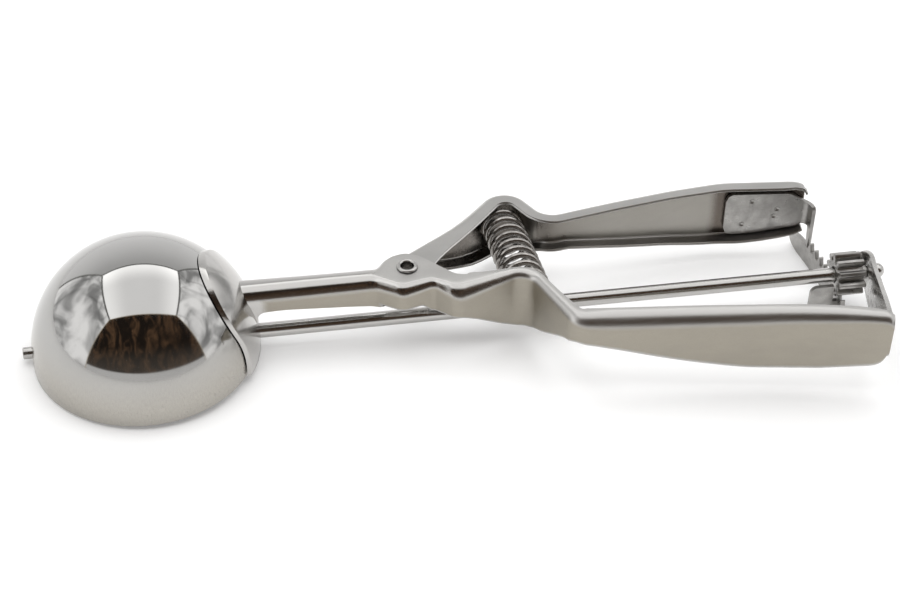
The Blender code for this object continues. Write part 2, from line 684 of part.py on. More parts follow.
def rack_leg():
    """Plate that rises from the rack and turns along the inside of the moving handle."""
    bottom, top = RACK_FOOT_Z + PLATE, LEG_TOP_Z
    thin = PLATE - 2.0 * SINK
    rings = [plate_ring(*arc_station(LEG_START), bottom, top - 0.0008, thin)]
    start, along = arc_station(LEG_BEND)
    rings.append(plate_ring(start, along, bottom, top, thin))
    web_a, web_b = Vector(MOVING_RAIL[-2][:2]), Vector(MOVING_RAIL[-1][:2])
    inward = (web_a - web_b).normalized()
    off = Vector((-inward.y, inward.x)) * (SHEET + GAP + PLATE / 2.0)
    foot = web_b + off
    meet = crossing(start, along, foot, inward)
    path = [(start.x, start.y, 0.0), (meet.x, meet.y, LEG_FILLET)]
    end = foot + inward * ((foot.x - FOOT_END_X) / -inward.x)
    path.append((end.x, end.y, 0.0))
    turned_part = rail(path, lambda x: 0.0030)[1:]
    reach = start.x - FOOT_END_X
    for point, direction in turned_part:
        gone = (start.x - point.x) / reach
        floor = MOVING_TOP_Z - curve(MOVING_HEIGHTS, point.x) + MOVING_LOW_RADIUS + GAP
        low = floor if point.x < web_b.x + LEG_FILLET else bottom
        high = curve(((0.0, top), (0.30, FOOT_TOP_Z)), gone)
        left = max(0.0, FOOT_CORNER - (point.x - FOOT_END_X))
        trim = FOOT_CORNER - math.sqrt(max(0.0, FOOT_CORNER ** 2 - left ** 2))
        rings.append(plate_ring(point, direction, low + trim, high - trim, thin))
    return skin("leg", rings)


def crossing(start, along, foot, inward):
    """Point where two lines in plan meet."""
    across = along.x * inward.y - along.y * inward.x
    gap = foot - start
    return start + along * ((gap.x * inward.y - gap.y * inward.x) / across)


def rack_stop():
    """Tab beside the rod that stops the opening swing."""
    face = RACK_X - PLATE / 2.0
    clear = PINION_START - 2.0 * GAP
    pinion_floor = -PITCH_RADIUS - MODULE - 2.0 * GAP
    low = RACK_FOOT_Z + PLATE
    outline = arc_points((STOP_START_X + STOP_CORNER, STOP_TOP_Z - STOP_CORNER), STOP_CORNER,
                         math.pi, -math.pi / 2.0, 4)
    outline += [(clear, STOP_TOP_Z), (clear, pinion_floor), (face + PLATE / 2.0, pinion_floor),
                (face + PLATE / 2.0, low), (STOP_START_X, low)]
    rings = [[(x, y, z) for x, z in outline] for y in (STOP_Y, STOP_Y - PLATE)]
    return skin("stop", rings)


def build_pinion(axle):
    """Ten-tooth pinion with involute sides."""
    tip, root = PITCH_RADIUS + MODULE, PITCH_RADIUS - MODULE - ROOT_CLEARANCE
    base = PITCH_RADIUS * math.cos(PRESSURE_ANGLE)
    involute_pitch = math.tan(PRESSURE_ANGLE) - PRESSURE_ANGLE
    half = math.pi * PINION_SHARE / PINION_TEETH - BACKLASH / 4.0 / PITCH_RADIUS
    flank = [(root, half * 0.80), (base * 0.93, half * 0.84)]
    for share in (0.35, 0.7, 1.0):
        radius = base + (tip - base) * share
        slant = math.acos(base / radius)
        flank.append((radius, half + involute_pitch - (math.tan(slant) - slant)))
    outline = []
    for k in range(PINION_TEETH):
        middle = math.tau * (k + 0.5) / PINION_TEETH - math.pi / 2.0
        tooth = [(r, middle - a) for r, a in flank] + [(r, middle + a) for r, a in flank[::-1]]
        outline += [(r * math.cos(a), r * math.sin(a)) for r, a in tooth]
    pinion = prism("pinion", outline, PINION_START, PINION_END, "X")
    combine(pinion, pin("bore", ROD_RADIUS + GAP, PINION_START * 0.9, PINION_END * 1.1, "X"),
            "DIFFERENCE")
    return finish(pinion, "pinion", "gear_steel", axle, 25.0)


def build_rod(axle):
    head = ROD_START + ROD_HEAD_LENGTH
    shoulder = BOWL_RADIUS - BOWL_WALL - BLADE_CLEARANCE + GAP
    chamfer = 0.0003
    button = arc_points((BUTTON_END - BUTTON_RADIUS, 0.0), BUTTON_RADIUS, math.pi / 2.0,
                        -math.pi / 2.0, 5)
    profile = [(ROD_START, 0.0), (ROD_START, ROD_HEAD_RADIUS - chamfer),
               (ROD_START + chamfer, ROD_HEAD_RADIUS), (head, ROD_HEAD_RADIUS),
               (head, ROD_TIP_RADIUS), (shoulder, ROD_TIP_RADIUS), (shoulder, ROD_RADIUS),
               (JOURNAL_START, ROD_RADIUS), (JOURNAL_START, JOURNAL_RADIUS),
               (BUTTON_START, JOURNAL_RADIUS), (BUTTON_START, BUTTON_RADIUS)]
    profile += button[:-1] + [(BUTTON_END, 0.0)]
    rod = turned("drive_rod", profile[::-1], "X", 24)
    return finish(rod, "drive_rod", "polished_steel", axle)


def build_blade(axle):
    """Half hoop that turns about the rod just inside the bowl, with an eye at each end."""
    outer = BOWL_RADIUS - BOWL_WALL - BLADE_CLEARANCE
    eye = BLADE_EYE_RADIUS / outer
    steps = 26
    angles = [-eye * share for share in BLADE_END]
    angles += [math.pi * i / steps for i in range(steps + 1)]
    angles += [math.pi + eye * share for share in BLADE_END[::-1]]
    rings = []
    for a in angles:
        inset = min(a, math.pi - a)
        if inset < 0.0:
            half = eye * math.sqrt(1.0 - (inset / eye) ** 2)
        else:
            half = curve(((0.0, eye), (0.85, BLADE_HALF_WIDTH / outer)), inset)
        ring = []
        for radius, turns in ((outer, (-1.0, -0.5, 0.0, 0.5, 1.0)),
                              (outer - BLADE_SHEET, (1.0, 0.5, 0.0, -0.5, -1.0))):
            for t in turns:
                side = half * t
                ring.append((radius * math.cos(a) * math.cos(side), -radius * math.sin(side),
                             radius * math.sin(a) * math.cos(side)))
        rings.append(ring)
    blade = skin("scraper_blade", rings)
    for start, end in ((outer * 0.7, outer * 1.1), (-outer * 1.1, -outer * 0.7)):
        radius = ROD_TIP_RADIUS if start > 0.0 else TIP_PIN_RADIUS
        combine(blade, pin("eye", radius + GAP, start, end, "X"), "DIFFERENCE")
    blade.data.transform(Matrix.Rotation(BLADE_REST - math.pi / 2.0, 4, "X"))
    return finish(blade, "scraper_blade", "polished_steel", axle)


def build_tip_pin(root):
    chamfer = 0.0004
    head = TIP_PIN_START - TIP_PIN_HEAD_LENGTH
    profile = [(TIP_PIN_START, 0.0), (TIP_PIN_START, TIP_PIN_HEAD - chamfer),
               (TIP_PIN_START - chamfer, TIP_PIN_HEAD), (head, TIP_PIN_HEAD),
               (head, TIP_PIN_RADIUS), (TIP_PIN_END + chamfer, TIP_PIN_RADIUS),
               (TIP_PIN_END, TIP_PIN_RADIUS - chamfer), (TIP_PIN_END, 0.0)]
    return finish(turned("scraper_pin", profile, "X", 20), "scraper_pin", "polished_steel", root)


def bracket_path():
    """Plan line of the bracket: foot inside the handle, round a corner, bow, eye."""
    corner, bend = Vector(BRACKET_HANDLE), Vector(BRACKET_BEND)
    end, before = Vector(FIXED_RAIL[-1][:2]), Vector(FIXED_RAIL[-2][:2])
    web = (end - before).normalized()
    inside = end + left_of(web) * (SHEET + GAP + PLATE / 2.0)
    meet = crossing(corner, (bend - corner).normalized(), inside, web)
    foot = meet - web * BRACKET_FOOT
    tip = Vector((BRACKET_TIP_X, BRACKET_EYE_RADIUS * 0.985))
    return [(foot.x, foot.y, 0.0), (meet.x, meet.y, BRACKET_CORNER),
            (bend.x, bend.y, BRACKET_BOW), (tip.x, tip.y, 0.0)]


def bracket_edge(y, side):
    """Upper or lower edge: a round eye beyond the rod, a widening or narrowing arm before it."""
    if y > 0.0:
        return side * math.sqrt(BRACKET_EYE_RADIUS ** 2 - y ** 2)
    knots = BRACKET_UPPER if side > 0.0 else BRACKET_LOWER
    return curve(knots, -y)


def build_bracket(root):
    """Plate across the handle end that carries the outer end of the rod."""
    rings = [plate_ring(point, along, bracket_edge(point.y, -1.0), bracket_edge(point.y, 1.0))
             for point, along in rail(bracket_path(), lambda x: 0.0012)]
    bracket = skin("end_bracket", rings)
    combine(bracket, pin("bearing", JOURNAL_RADIUS + GAP, JOURNAL_START * 0.95,
                         BUTTON_END * 1.05, "X"), "DIFFERENCE")
    return finish(bracket, "end_bracket", "polished_steel", root)


def lie_down(root, pieces):
    """Tip the frame so that the tool lies on its rim and rack, origin under its middle."""
    bpy.context.view_layer.update()
    places = [piece.matrix_world @ v.co for piece in pieces for v in piece.data.vertices]
    slopes = [(p.z - RIM_Z) / (p.x + BOWL_RADIUS) for p in places if p.x > PIVOT_X]
    root.rotation_euler.y = math.atan(min(slopes))
    bpy.context.view_layer.update()
    corners = []
    for piece in pieces:
        matrix = piece.matrix_world
        corners += [matrix @ v.co for v in piece.data.vertices]
    low = [min(c[i] for c in corners) for i in range(3)]
    high = [max(c[i] for c in corners) for i in range(3)]
    root.location = (-(low[0] + high[0]) / 2.0, -(low[1] + high[1]) / 2.0, -low[2])
    bpy.context.view_layer.update()
    print("size, mm", [round((b - a) * 1000.0, 2) for a, b in zip(low, high)])
    print("frame location, m", [round(c, 6) for c in root.location])
    print("frame tilt, deg", round(math.degrees(root.rotation_euler.y), 4))


def build():
    clear_scene()
    root = empty("rest_frame", None)
    hinge = empty("handle_axis", root, (PIVOT_X, PIVOT_Y, 0.0))
    axle = empty("rod_axis", root, (ROD_START, 0.0, 0.0))
    pieces = [build_bowl(root), build_fixed_handle(root), build_moving_handle(hinge),
              build_rivet(root), build_spring(root), build_rack(hinge), build_pinion(axle),
              build_rod(axle), build_blade(axle), build_tip_pin(root), build_bracket(root)]
    lie_down(root, pieces)
    total = 0
    for piece in pieces:
        piece.data.calc_loop_triangles()
        total += len(piece.data.loop_triangles)
        print(piece.name, len(piece.data.loop_triangles))
    print("triangles", total)


build()
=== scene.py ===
"""Looks of a squeeze-handle ice cream scoop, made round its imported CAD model.

Every piece is built on the tool's own axes: X along the drive rod from the bowl to the
handle ends, Z out of the dome, origin in the middle of the bowl. One matrix, read from
the joints, lays them on the frame.
"""
import json
import math

import bmesh
import bpy
import numpy
from bpy.props import FloatProperty, FloatVectorProperty, IntProperty, PointerProperty
from mathutils import Matrix, Vector

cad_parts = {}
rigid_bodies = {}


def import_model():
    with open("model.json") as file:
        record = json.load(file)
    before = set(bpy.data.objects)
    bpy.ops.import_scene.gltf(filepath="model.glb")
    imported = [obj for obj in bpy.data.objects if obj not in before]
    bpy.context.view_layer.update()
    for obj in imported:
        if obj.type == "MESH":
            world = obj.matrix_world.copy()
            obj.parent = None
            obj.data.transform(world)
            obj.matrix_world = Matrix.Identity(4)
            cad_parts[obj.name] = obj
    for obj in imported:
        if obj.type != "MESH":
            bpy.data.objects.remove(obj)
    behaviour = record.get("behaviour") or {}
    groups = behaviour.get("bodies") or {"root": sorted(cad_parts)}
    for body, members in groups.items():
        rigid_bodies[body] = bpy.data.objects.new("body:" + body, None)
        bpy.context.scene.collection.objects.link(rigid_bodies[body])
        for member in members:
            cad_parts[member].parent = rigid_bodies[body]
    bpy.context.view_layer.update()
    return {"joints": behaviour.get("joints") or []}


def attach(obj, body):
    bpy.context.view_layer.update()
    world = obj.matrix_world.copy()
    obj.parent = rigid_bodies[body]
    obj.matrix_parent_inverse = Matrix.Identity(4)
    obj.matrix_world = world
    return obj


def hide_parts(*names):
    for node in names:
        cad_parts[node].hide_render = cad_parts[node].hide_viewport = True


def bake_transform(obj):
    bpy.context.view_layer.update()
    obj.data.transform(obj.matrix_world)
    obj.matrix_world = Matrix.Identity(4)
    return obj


bl_info = {
    "name": "Ice Cream Scoop",
    "version": (1, 0, 0),
    "blender": (4, 5, 0),
    "location": "View3D > Sidebar > Scoop",
    "description": "Builds a squeeze-handle ice cream scoop with its rack, pinion and scraper",
    "category": "Add Mesh",
}

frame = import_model()

# Fits
GAP = 0.0003                # space between pieces that touch or seat on each other
PLATE = 0.0012              # flat plate of the rack and the end bracket
SINK = 0.00005
WELD = 0.000001
BEND_STEP = math.radians(5.0)
EDGE_STEPS = 5              # points round a free sheet edge
LEAST_RUN = 0.00005         # shortest straight beyond a fold
LAST_STEP = 0.4             # a straight run's last step is at least this share of a full one
BREAK_STEPS = 2             # segments of a broken edge
LEAST_FACES = 8
PLACE_NAME = "tool_place"   # each point's place on the tool's axes, for the finishes

# Bowl and its saddle
RIM_Z = -0.0030
BOWL_SIDES = 168
BOWL_RINGS = 44
SADDLE_HALF_WIDTH = 0.0142
SADDLE_SHOULDER_Z = 0.0105
SADDLE_BREAK = 0.00028
SADDLE_STEPS = 48
RIM_STEPS = 8
HOLE_REACH = 1.2            # cutters end at this share of the bowl's radius
PATCH_REACH = 1.3           # and those through the saddle at this one

# Drive rod and scraper
ROD_START = 0.0250
ROD_HEAD_RADIUS = 0.0024
ROD_HEAD_LENGTH = 0.0008
ROD_TIP_RADIUS = 0.0015
JOURNAL_RADIUS = 0.0015
BUTTON_RADIUS = 0.0021
BLADE_CLEARANCE = 0.0006
BLADE_SHEET = 0.0009
BLADE_HALF_WIDTH = 0.0055
BLADE_EYE_RADIUS = 0.0028
BLADE_REST = math.radians(170.0)
BLADE_STEPS = 72
BLADE_EYE_STEPS = 9
BLADE_WIDE_ANGLE = 0.85     # the hoop has its full width from here, in radians
BLADE_BREAK = 0.00015
PIN_CHAMFER = 0.0003
TIP_PIN_RADIUS = 0.0016
TIP_PIN_END = -0.0313
TIP_PIN_START = -0.0251
TIP_PIN_HEAD = 0.0025
TIP_PIN_HEAD_LENGTH = 0.0009

# Handle pivot
PIVOT_X = 0.0696
PIVOT_Y = 0.0016
PIVOT_Z = 0.0110            # height at which the record states the hinge
RIVET_RADIUS = 0.0023
RIVET_BORE = 0.0017
RIVET_FLANGE = 0.0028
RIVET_FLANGE_HEIGHT = 0.0005
EAR_RADIUS = 0.0060
MOVING_EAR_RADIUS = 0.0053
RIVET_STEPS = 14

# Rack and pinion
MODULE = 0.0010
ROOT_CLEARANCE = 0.00028
BACKLASH = 0.00034
PINION_SHARE = 0.62         # of the pitch taken by a pinion tooth; the rack has the rest
PRESSURE_ANGLE = math.radians(20.0)
RACK_RADIUS = 0.1190        # about the handle pivot
RACK_X = PIVOT_X + RACK_RADIUS
RACK_FOOT_Z = -0.0120
RACK_CRESTS_AHEAD = 6
RACK_CRESTS_BEHIND = 2
CREST_STARTS = (0.00045, 0.0002, 0.0001)    # depths at which a crest rounds over
CREST_EASE = 0.0001
CREST_FLAT = 0.4            # share of a crest that stays flat
RACK_BREAK = 0.00014
PINION_BREAK = 0.00012
PINION_ROOT = ((0.0, 0.86), (0.0003, 0.80))     # as (height, share of half a tooth)
PINION_NECK = (0.95, 0.82)      # the same below the base circle, height as its share
FLANK_SHARES = (0.15, 0.3, 0.5, 0.7, 0.85, 1.0)
PINION_START = RACK_X - 0.0015
PINION_END = RACK_X + 0.0058
LEG_START = 0.0204
LEG_BEND = LEG_START + 0.0006
LEG_FILLET = 0.0024
LEG_TOP_Z = 0.0072
LEG_DIP = 0.0008
LEG_RISE = 0.30             # share of the leg over which its top climbs to the foot's
LEG_STEP = 0.0010
LOBE_LENGTH = 0.0062
LOBE_STEPS = 13
LOBE_SWEEP = 0.97           # of a quarter turn, so that the end keeps a face
LOBE_START = LEG_START + 0.0035
FOOT_END_X = RACK_X - 0.0256
FOOT_TOP_Z = 0.0106
FOOT_CORNER = 0.0024
FOOT_STEP = 0.0006
FOOT_STEP_REACH = 0.008
STOP_START_X = RACK_X - 0.0086
STOP_TOP_Z = -0.0014
STOP_CORNER = 0.0020
WELD_LOW_Z = -0.0035        # the weld dots' shares count from here to the foot's top
WELD_DOT_RADIUS = 0.0012
WELD_DOT_LIFT = 0.0009      # of its centre over the face

# Handles
TOP_Z = 0.0155
EAR_HEIGHT = 0.0077
NECK_FAR_RADIUS = 0.0031
NECK_LEG_END_X = 0.0560     # the neck's far leg runs out from here
NECK_END_X = 0.0605         # and its edge folds flat from here
EAR_START_X = 0.0652
NECK_ROOT_X = 0.0296
NECK_ROOT_FILLET = 0.0022
NECK_ROOT_Z = -0.0016
LIP_DEPTH = 0.0029
FAR_RADIUS = 0.0018
FREE_FOLD = 0.06
FREE_LEG = 0.0004
NECK_LIP = 0.0023           # straight foot of the neck's near wall
MOVING_LOW_RADIUS = 0.0015
FLARE = ((0.0040, 0.0012), (0.0120, 0.0032))    # fillet from neck to saddle, by height
FLARE_SINK = 0.0003
FLARE_STEPS = 12
FLARE_CURVE_STEPS = 10
FIXED_TAIL = (0.0024, 0.0012)   # length and drop of the ridge's turn at the handle ends
MOVING_TAIL = (0.0045, 0.0022)
CLOSING_STEPS = 4
FAR_STEPS = 7
NEAR_STEPS = 14
LOW_STEPS = 8
ROOT_STEP = 0.00025         # spacing of the stations along the handles
NECK_STEP = 0.0020
EAR_STEP = 0.0006
TURN_STEP = 0.0008
GRIP_STEP = 0.0016
END_STEP = 0.0004
FIXED_END_X = 0.1850        # END_STEP holds from here
MOVING_EAR_STEP = 0.0010
MOVING_GRIP_X = 0.09        # GRIP_STEP holds from here
MOVING_END_X = 0.182
MOVING_EAR_END_X = 0.0735
MOVING_LEVEL_X = 0.0865     # upper and lower edge lie one over the other from here

# Return spring
SPRING_POINTS = 28          # in each curl
SPRING_NEAR = Vector((0.1012, -0.0036, 0.00843))
SPRING_FAR = Vector((0.0992, 0.0266, 0.00715))

# End bracket
BRACKET_EYE_RADIUS = 0.0057
BRACKET_ROD_X = RACK_X + 0.0084     # middle of the plate on the rod axis
BRACKET_TIP_X = RACK_X + 0.0070     # middle of the plate at the tip of the eye
BRACKET_BEND = (RACK_X + 0.0087, 0.0002)
BRACKET_HANDLE = (RACK_X + 0.0018, -0.0325)
BRACKET_FOOT = 0.0130
BRACKET_CORNER = 0.0022
BRACKET_BOW = 0.0070
BRACKET_STEP = 0.0004
BRACKET_BREAK = 0.0002
BRACKET_TIP = 0.985         # share of the eye's radius at which the plate ends
BRACKET_UPPER = ((0.0, BRACKET_EYE_RADIUS), (0.0162, 0.0089), (0.0254, 0.0112),
                 (0.0315, 0.0121))     # as (distance from the rod, height)
BRACKET_LOWER = ((0.0, -BRACKET_EYE_RADIUS), (0.0162, -0.0036), (0.0315, 0.0036))
JOURNAL_START = BRACKET_ROD_X - 0.0012
BUTTON_START = BRACKET_ROD_X + 0.0014
BUTTON_END = BUTTON_START + 0.0030

# Camera on the tool's axes
CAMERA_PLACE = (0.014464, -0.390760, 0.340194)
CAMERA_RIGHT = (0.98723, -0.15901, 0.00998)
CAMERA_DOWN = (-0.09530, -0.63951, -0.76285)
CAMERA_FORWARD = (0.12768, 0.75216, -0.64650)
LENS = 78.36
SENSOR = 36.0

# Light tent round the tool, as shares of one length
TENT_HALF_WIDTH = 1.8
TENT_FRONT = 1.0
TENT_BACK = 2.0
TENT_HEIGHT = 2.6
TENT_SILL = 0.15
TENT_SEAM = 0.035           # seam width, as a share of the way to it
TENT_SLACK = 0.004          # how far a side may fall short and still be the one hit
SEAM_TONE = (0.22, 0.22, 0.21)
SILL_TONE = (0.85, 0.85, 0.85)
HEM_TONE = (0.62, 0.54, 0.42)
HAZE = (0.17, 0.15, 0.13)   # the dim room close to the floor
ROOM_WARMTH = (3.6, 2.7, 1.9)   # of the room's pale shapes

# Floor and lamp
FLOOR_HALF = 3.0
LAMP_SIZE = (0.62, 0.50)
LAMP_PLACE = (-0.02, 0.02, 0.58)
LAMP_AIM = (-0.02, 0.02, 0.0)

# Finish
WARM = (1.0, 0.965, 0.90)   # of the brushed band of the bowl
# colour of the painted shade inside the handles' channels and beside the rack's foot
PAINTED_SHADE_TONE = (0.22, 0.18, 0.16)
INSIDE_TONE = (1.13, 1.17, 1.26)    # the moving handle's web beside the fixed one's
INSIDE_DARK_X = 0.1020      # the painted shade inside the grips fades from here
INSIDE_PALE_X = 0.1300      # to here
FOOT_SHADE_START_X = 0.1575       # painted shade beside the rack's foot
FOOT_SHADE_END_X = 0.1615
EARS_START = (0.058, 0.064)     # the flat ears are satin between these
EARS_END = (0.086, 0.093)
SADDLE_END = (0.0300, 0.0330)   # the saddle is polished all over, up to here
RIDGE_DULL_X = 0.1150       # the ridges lose gloss from the neck's end to here
BLADE_GLOSS, RIVET_GLOSS, TIP_GLOSS, BRACKET_GLOSS = 0.20, 0.16, 0.18, 0.24

# Plan line of the fixed handle's outer wall as (x, y, corner radius)
FIXED_RAIL = ((0.0235, -0.0035, 0.0), (0.0602, -0.0033, 0.0050), (0.0672, -0.0078, 0.0035),
              (0.0755, -0.0054, 0.0022), (0.0812, -0.0106, 0.0040), (0.1004, -0.0042, 0.0045),
              (0.1089, -0.0261, 0.0064), (0.1420, -0.0296, 0.25), (0.1670, -0.0324, 0.15),
              (0.1810, -0.0350, 0.08), (0.1894, -0.0372, 0.0))
CROSS_END_X = 0.0830        # sections lie square to the rod up to here
TURN_END_X = 0.0950         # and square to the wall from here

# Heights, depths and radii of both handles as (x, value) knots
FIXED_HEIGHTS = ((NECK_ROOT_X, 0.0062), (0.036, 0.0060), (0.042, 0.0063), (0.048, 0.0067),
                 (0.054, 0.0071), (0.0600, 0.0076), (0.0640, EAR_HEIGHT),
                 (0.0722, EAR_HEIGHT), (0.0755, 0.0101), (0.0785, 0.0099), (0.082, 0.0100),
                 (0.086, 0.0117), (0.090, 0.0141), (0.095, 0.0171), (0.0985, 0.0186),
                 (0.1008, 0.0184), (0.1030, 0.0164), (0.1050, 0.0134), (0.1072, 0.0103),
                 (0.1095, 0.0091), (0.113, 0.0097), (0.118, 0.0111), (0.131, 0.0146),
                 (0.144, 0.0174), (0.157, 0.0192), (0.171, 0.0196), (0.178, 0.0191),
                 (0.1835, 0.0184), (0.1862, 0.0179), (0.1876, 0.0172), (0.1886, 0.0161),
                 (0.1894, 0.0143))
FIXED_EDGE = ((0.0235, 0.0046), (0.030, 0.0044), (0.0585, 0.0039), (0.0612, 0.0039),
              (0.0640, 0.0053), (0.0664, 0.0069), (0.0696, EAR_RADIUS + PIVOT_Y), (0.0722, 0.0068),
              (0.0750, 0.0045), (0.0790, 0.0002), (0.0822, -0.0026), (0.0850, -0.0031))
FIXED_DEPTHS = ((0.0850, 0.0065), (0.090, 0.0050), (0.0945, 0.0038), (0.098, 0.0031),
                (0.102, 0.0030), (0.105, 0.0033), (0.1078, 0.0042), (0.111, 0.0052),
                (0.130, 0.0052), (0.166, 0.0048), (0.182, 0.0044), (0.1894, 0.0036))
FIXED_SHOULDER = ((0.036, 0.0043), (0.050, 0.0042), (0.060, 0.0040), (0.066, 0.0038),
                  (0.072, 0.0033), (0.0755, 0.0028), (0.079, 0.0040), (0.083, 0.0046),
                  (0.088, 0.0038), (0.093, 0.0030), (0.098, 0.0023), (0.104, 0.0025),
                  (0.110, 0.0036), (0.120, 0.0045), (0.150, 0.0043), (0.175, 0.0036),
                  (0.186, 0.0028))
FIXED_LOW_RADIUS = ((0.100, 0.0014), (0.125, 0.0028))
MOVING_RAIL = ((0.0666, 0.0064, 0.0), (0.0852, 0.0191, 0.060), (0.1012, 0.0359, 0.0070),
               (0.1102, 0.0198, 0.0055), (0.1300, 0.0238, 0.100), (0.1460, 0.0266, 0.080),
               (0.1612, 0.0281, 0.030), (0.1850, 0.0257, 0.0))
MOVING_HEIGHTS = ((0.079, 0.0090), (0.084, 0.0119), (0.092, 0.0162), (0.097, 0.0180),
                  (0.102, 0.0178), (0.107, 0.0140), (0.111, 0.0108), (0.115, 0.0106),
                  (0.118, 0.0112), (0.124, 0.0126),
                  (0.130, 0.0140), (0.136, 0.0152), (0.142, 0.0163), (0.148, 0.0174),
                  (0.154, 0.0184), (0.160, 0.0191), (0.166, 0.0193), (0.172, 0.0188),
                  (0.178, 0.0178), (0.1838, 0.0168), (0.1850, 0.0160))
MOVING_DEPTHS = ((0.0663, 0.0103), (0.0718, 0.0088), (0.0754, 0.0074), (0.0811, 0.0060),
                 (0.0865, 0.0052), (0.100, 0.0046), (0.107, 0.0043), (0.125, 0.0044),
                 (0.142, 0.0046), (0.158, 0.0048), (0.178, 0.0050), (0.185, 0.0044))
MOVING_LOW_DEPTHS = ((0.0718, 0.0095), (0.0790, 0.0050))
MOVING_SHOULDER = ((0.075, 0.0014), (0.095, 0.0018), (0.113, 0.0018), (0.150, 0.0024))
WELD_DOTS = ((0.31, 0.83), (0.22, 0.27), (0.62, 0.63), (0.59, 0.46))


class ScoopSizes(bpy.types.PropertyGroup):
    """Sizes of the stock that the scoop is made from."""

    bowl_radius: FloatProperty(name="Bowl radius", description="Outside radius of the bowl",
                               default=0.0290, unit="LENGTH", precision=4)
    bowl_wall: FloatProperty(name="Bowl wall", description="Sheet thickness of the bowl",
                             default=0.0008, unit="LENGTH", precision=4)
    sheet: FloatProperty(name="Handle sheet", description="Sheet thickness of both handles",
                         default=0.0009, unit="LENGTH", precision=4)
    rod_radius: FloatProperty(name="Rod radius", description="Radius of the drive rod",
                              default=0.0020, unit="LENGTH", precision=4)
    spring_wire: FloatProperty(name="Spring wire", description="Wire diameter of the spring",
                               default=0.0016, unit="LENGTH", precision=4)
    spring_radius: FloatProperty(name="Spring radius", description="Outside radius of the spring",
                                 default=0.00585, unit="LENGTH", precision=4)
    spring_curls: FloatProperty(name="Spring curls", description="Turns of wire in the spring",
                                default=8.5, min=3.0, max=16.0)
    pinion_teeth: IntProperty(name="Pinion teeth", description="Teeth round the pinion",
                              default=10, min=8, max=14)


class ScoopFinish(bpy.types.PropertyGroup):
    """Colours and gloss of the steels."""

    mirror: FloatVectorProperty(name="Bowl steel", description="Colour of the mirror finish",
                                subtype="COLOR", size=3, default=(0.44, 0.435, 0.425),
                                min=0.0, max=1.0)
    polished: FloatVectorProperty(name="Polished steel", description="Colour of polished ridges",
                                  subtype="COLOR", size=3, default=(0.50, 0.49, 0.475),
                                  min=0.0, max=1.0)
    satin: FloatVectorProperty(name="Satin steel", description="Colour of the tumbled grip walls",
                               subtype="COLOR", size=3, default=(0.365, 0.338, 0.288),
                               min=0.0, max=1.0)
    wire: FloatVectorProperty(name="Spring steel", description="Colour of the spring wire",
                              subtype="COLOR", size=3, default=(0.42, 0.40, 0.38),
                              min=0.0, max=1.0)
    gear: FloatVectorProperty(name="Gear steel", description="Colour of the rack and pinion",
                              subtype="COLOR", size=3, default=(0.40, 0.39, 0.375),
                              min=0.0, max=1.0)
    mirror_gloss: FloatProperty(name="Bowl roughness", description="Roughness of the bowl",
                                default=0.045, min=0.0, max=1.0, subtype="FACTOR")
    satin_gloss: FloatProperty(name="Satin roughness", description="Roughness of the grip walls",
                               default=0.42, min=0.0, max=1.0, subtype="FACTOR")


class StudioLook(bpy.types.PropertyGroup):
    """Floor and light."""

    floor: FloatVectorProperty(name="Floor", description="Colour of the floor", subtype="COLOR",
                               size=3, default=(0.80, 0.80, 0.80), min=0.0, max=1.0)
    lift: FloatProperty(name="Floor lift", description="Paleness added to the lit floor",
                        default=0.22, min=0.0, max=1.0)
    top_light: FloatProperty(name="Top lamp", description="Power of the lamp over the tool",
                             default=1.5, min=0.0, subtype="POWER")
    walls: FloatProperty(name="Tent walls", description="Brightness of the tent's side walls",
                         default=1.05, min=0.0)
    roof: FloatProperty(name="Tent roof", description="Brightness of the middle of the roof",
                        default=1.28, min=0.0)
    back: FloatProperty(name="Tent back", description="Brightness of the tent's back wall",
                        default=0.80, min=0.0)
    opening: FloatVectorProperty(name="Tent opening", description="Dim room beyond the open front",
                                 subtype="COLOR", size=3, default=(0.050, 0.038, 0.030),
                                 min=0.0, max=1.0)


def sizes():
    return bpy.context.scene.scoop_sizes


def tool_matrix():
    """Place of the tool's axes in the frame, from its joints."""
    joints = {joint["name"]: joint for joint in frame["joints"]}
    along = -Vector(joints["rod_turn"]["axis"]).normalized()
    up = -Vector(joints["handle_hinge"]["axis"]).normalized()
    turn = Matrix((along, up.cross(along), up)).transposed().to_4x4()
    pivot = Vector(joints["handle_hinge"]["pos_m"])
    shift = pivot - turn @ Vector((PIVOT_X, PIVOT_Y, PIVOT_Z))
    return Matrix.Translation(shift) @ turn


# Meshes

def mesh_object(name, points, faces):
    mesh = bpy.data.meshes.new(name)
    mesh.from_pydata([tuple(point) for point in points], [], faces)
    mesh.validate()
    made = bpy.data.objects.new(name, mesh)
    bpy.context.scene.collection.objects.link(made)
    work = bmesh.new()
    work.from_mesh(mesh)
    bmesh.ops.recalc_face_normals(work, faces=work.faces)
    work.to_mesh(mesh)
    work.free()
    return made


def apply_modifiers(item):
    bpy.context.view_layer.update()
    graph = bpy.context.evaluated_depsgraph_get()
    baked = bpy.data.meshes.new_from_object(item.evaluated_get(graph))
    item.modifiers.clear()
    old = item.data
    item.data = baked
    bpy.data.meshes.remove(old)


def combine(item, other, operation):
    """One exact boolean of item with other, which is used up."""
    step = item.modifiers.new(operation.lower(), "BOOLEAN")
    step.operation = operation
    step.solver = "EXACT"
    step.object = other
    apply_modifiers(item)
    bpy.data.objects.remove(other, do_unlink=True)


def join(item, *others):
    """Other shells become part of item's mesh."""
    work = bmesh.new()
    for source in (item, *others):
        work.from_mesh(source.data)
    work.to_mesh(item.data)
    work.free()
    for other in others:
        bpy.data.objects.remove(other, do_unlink=True)


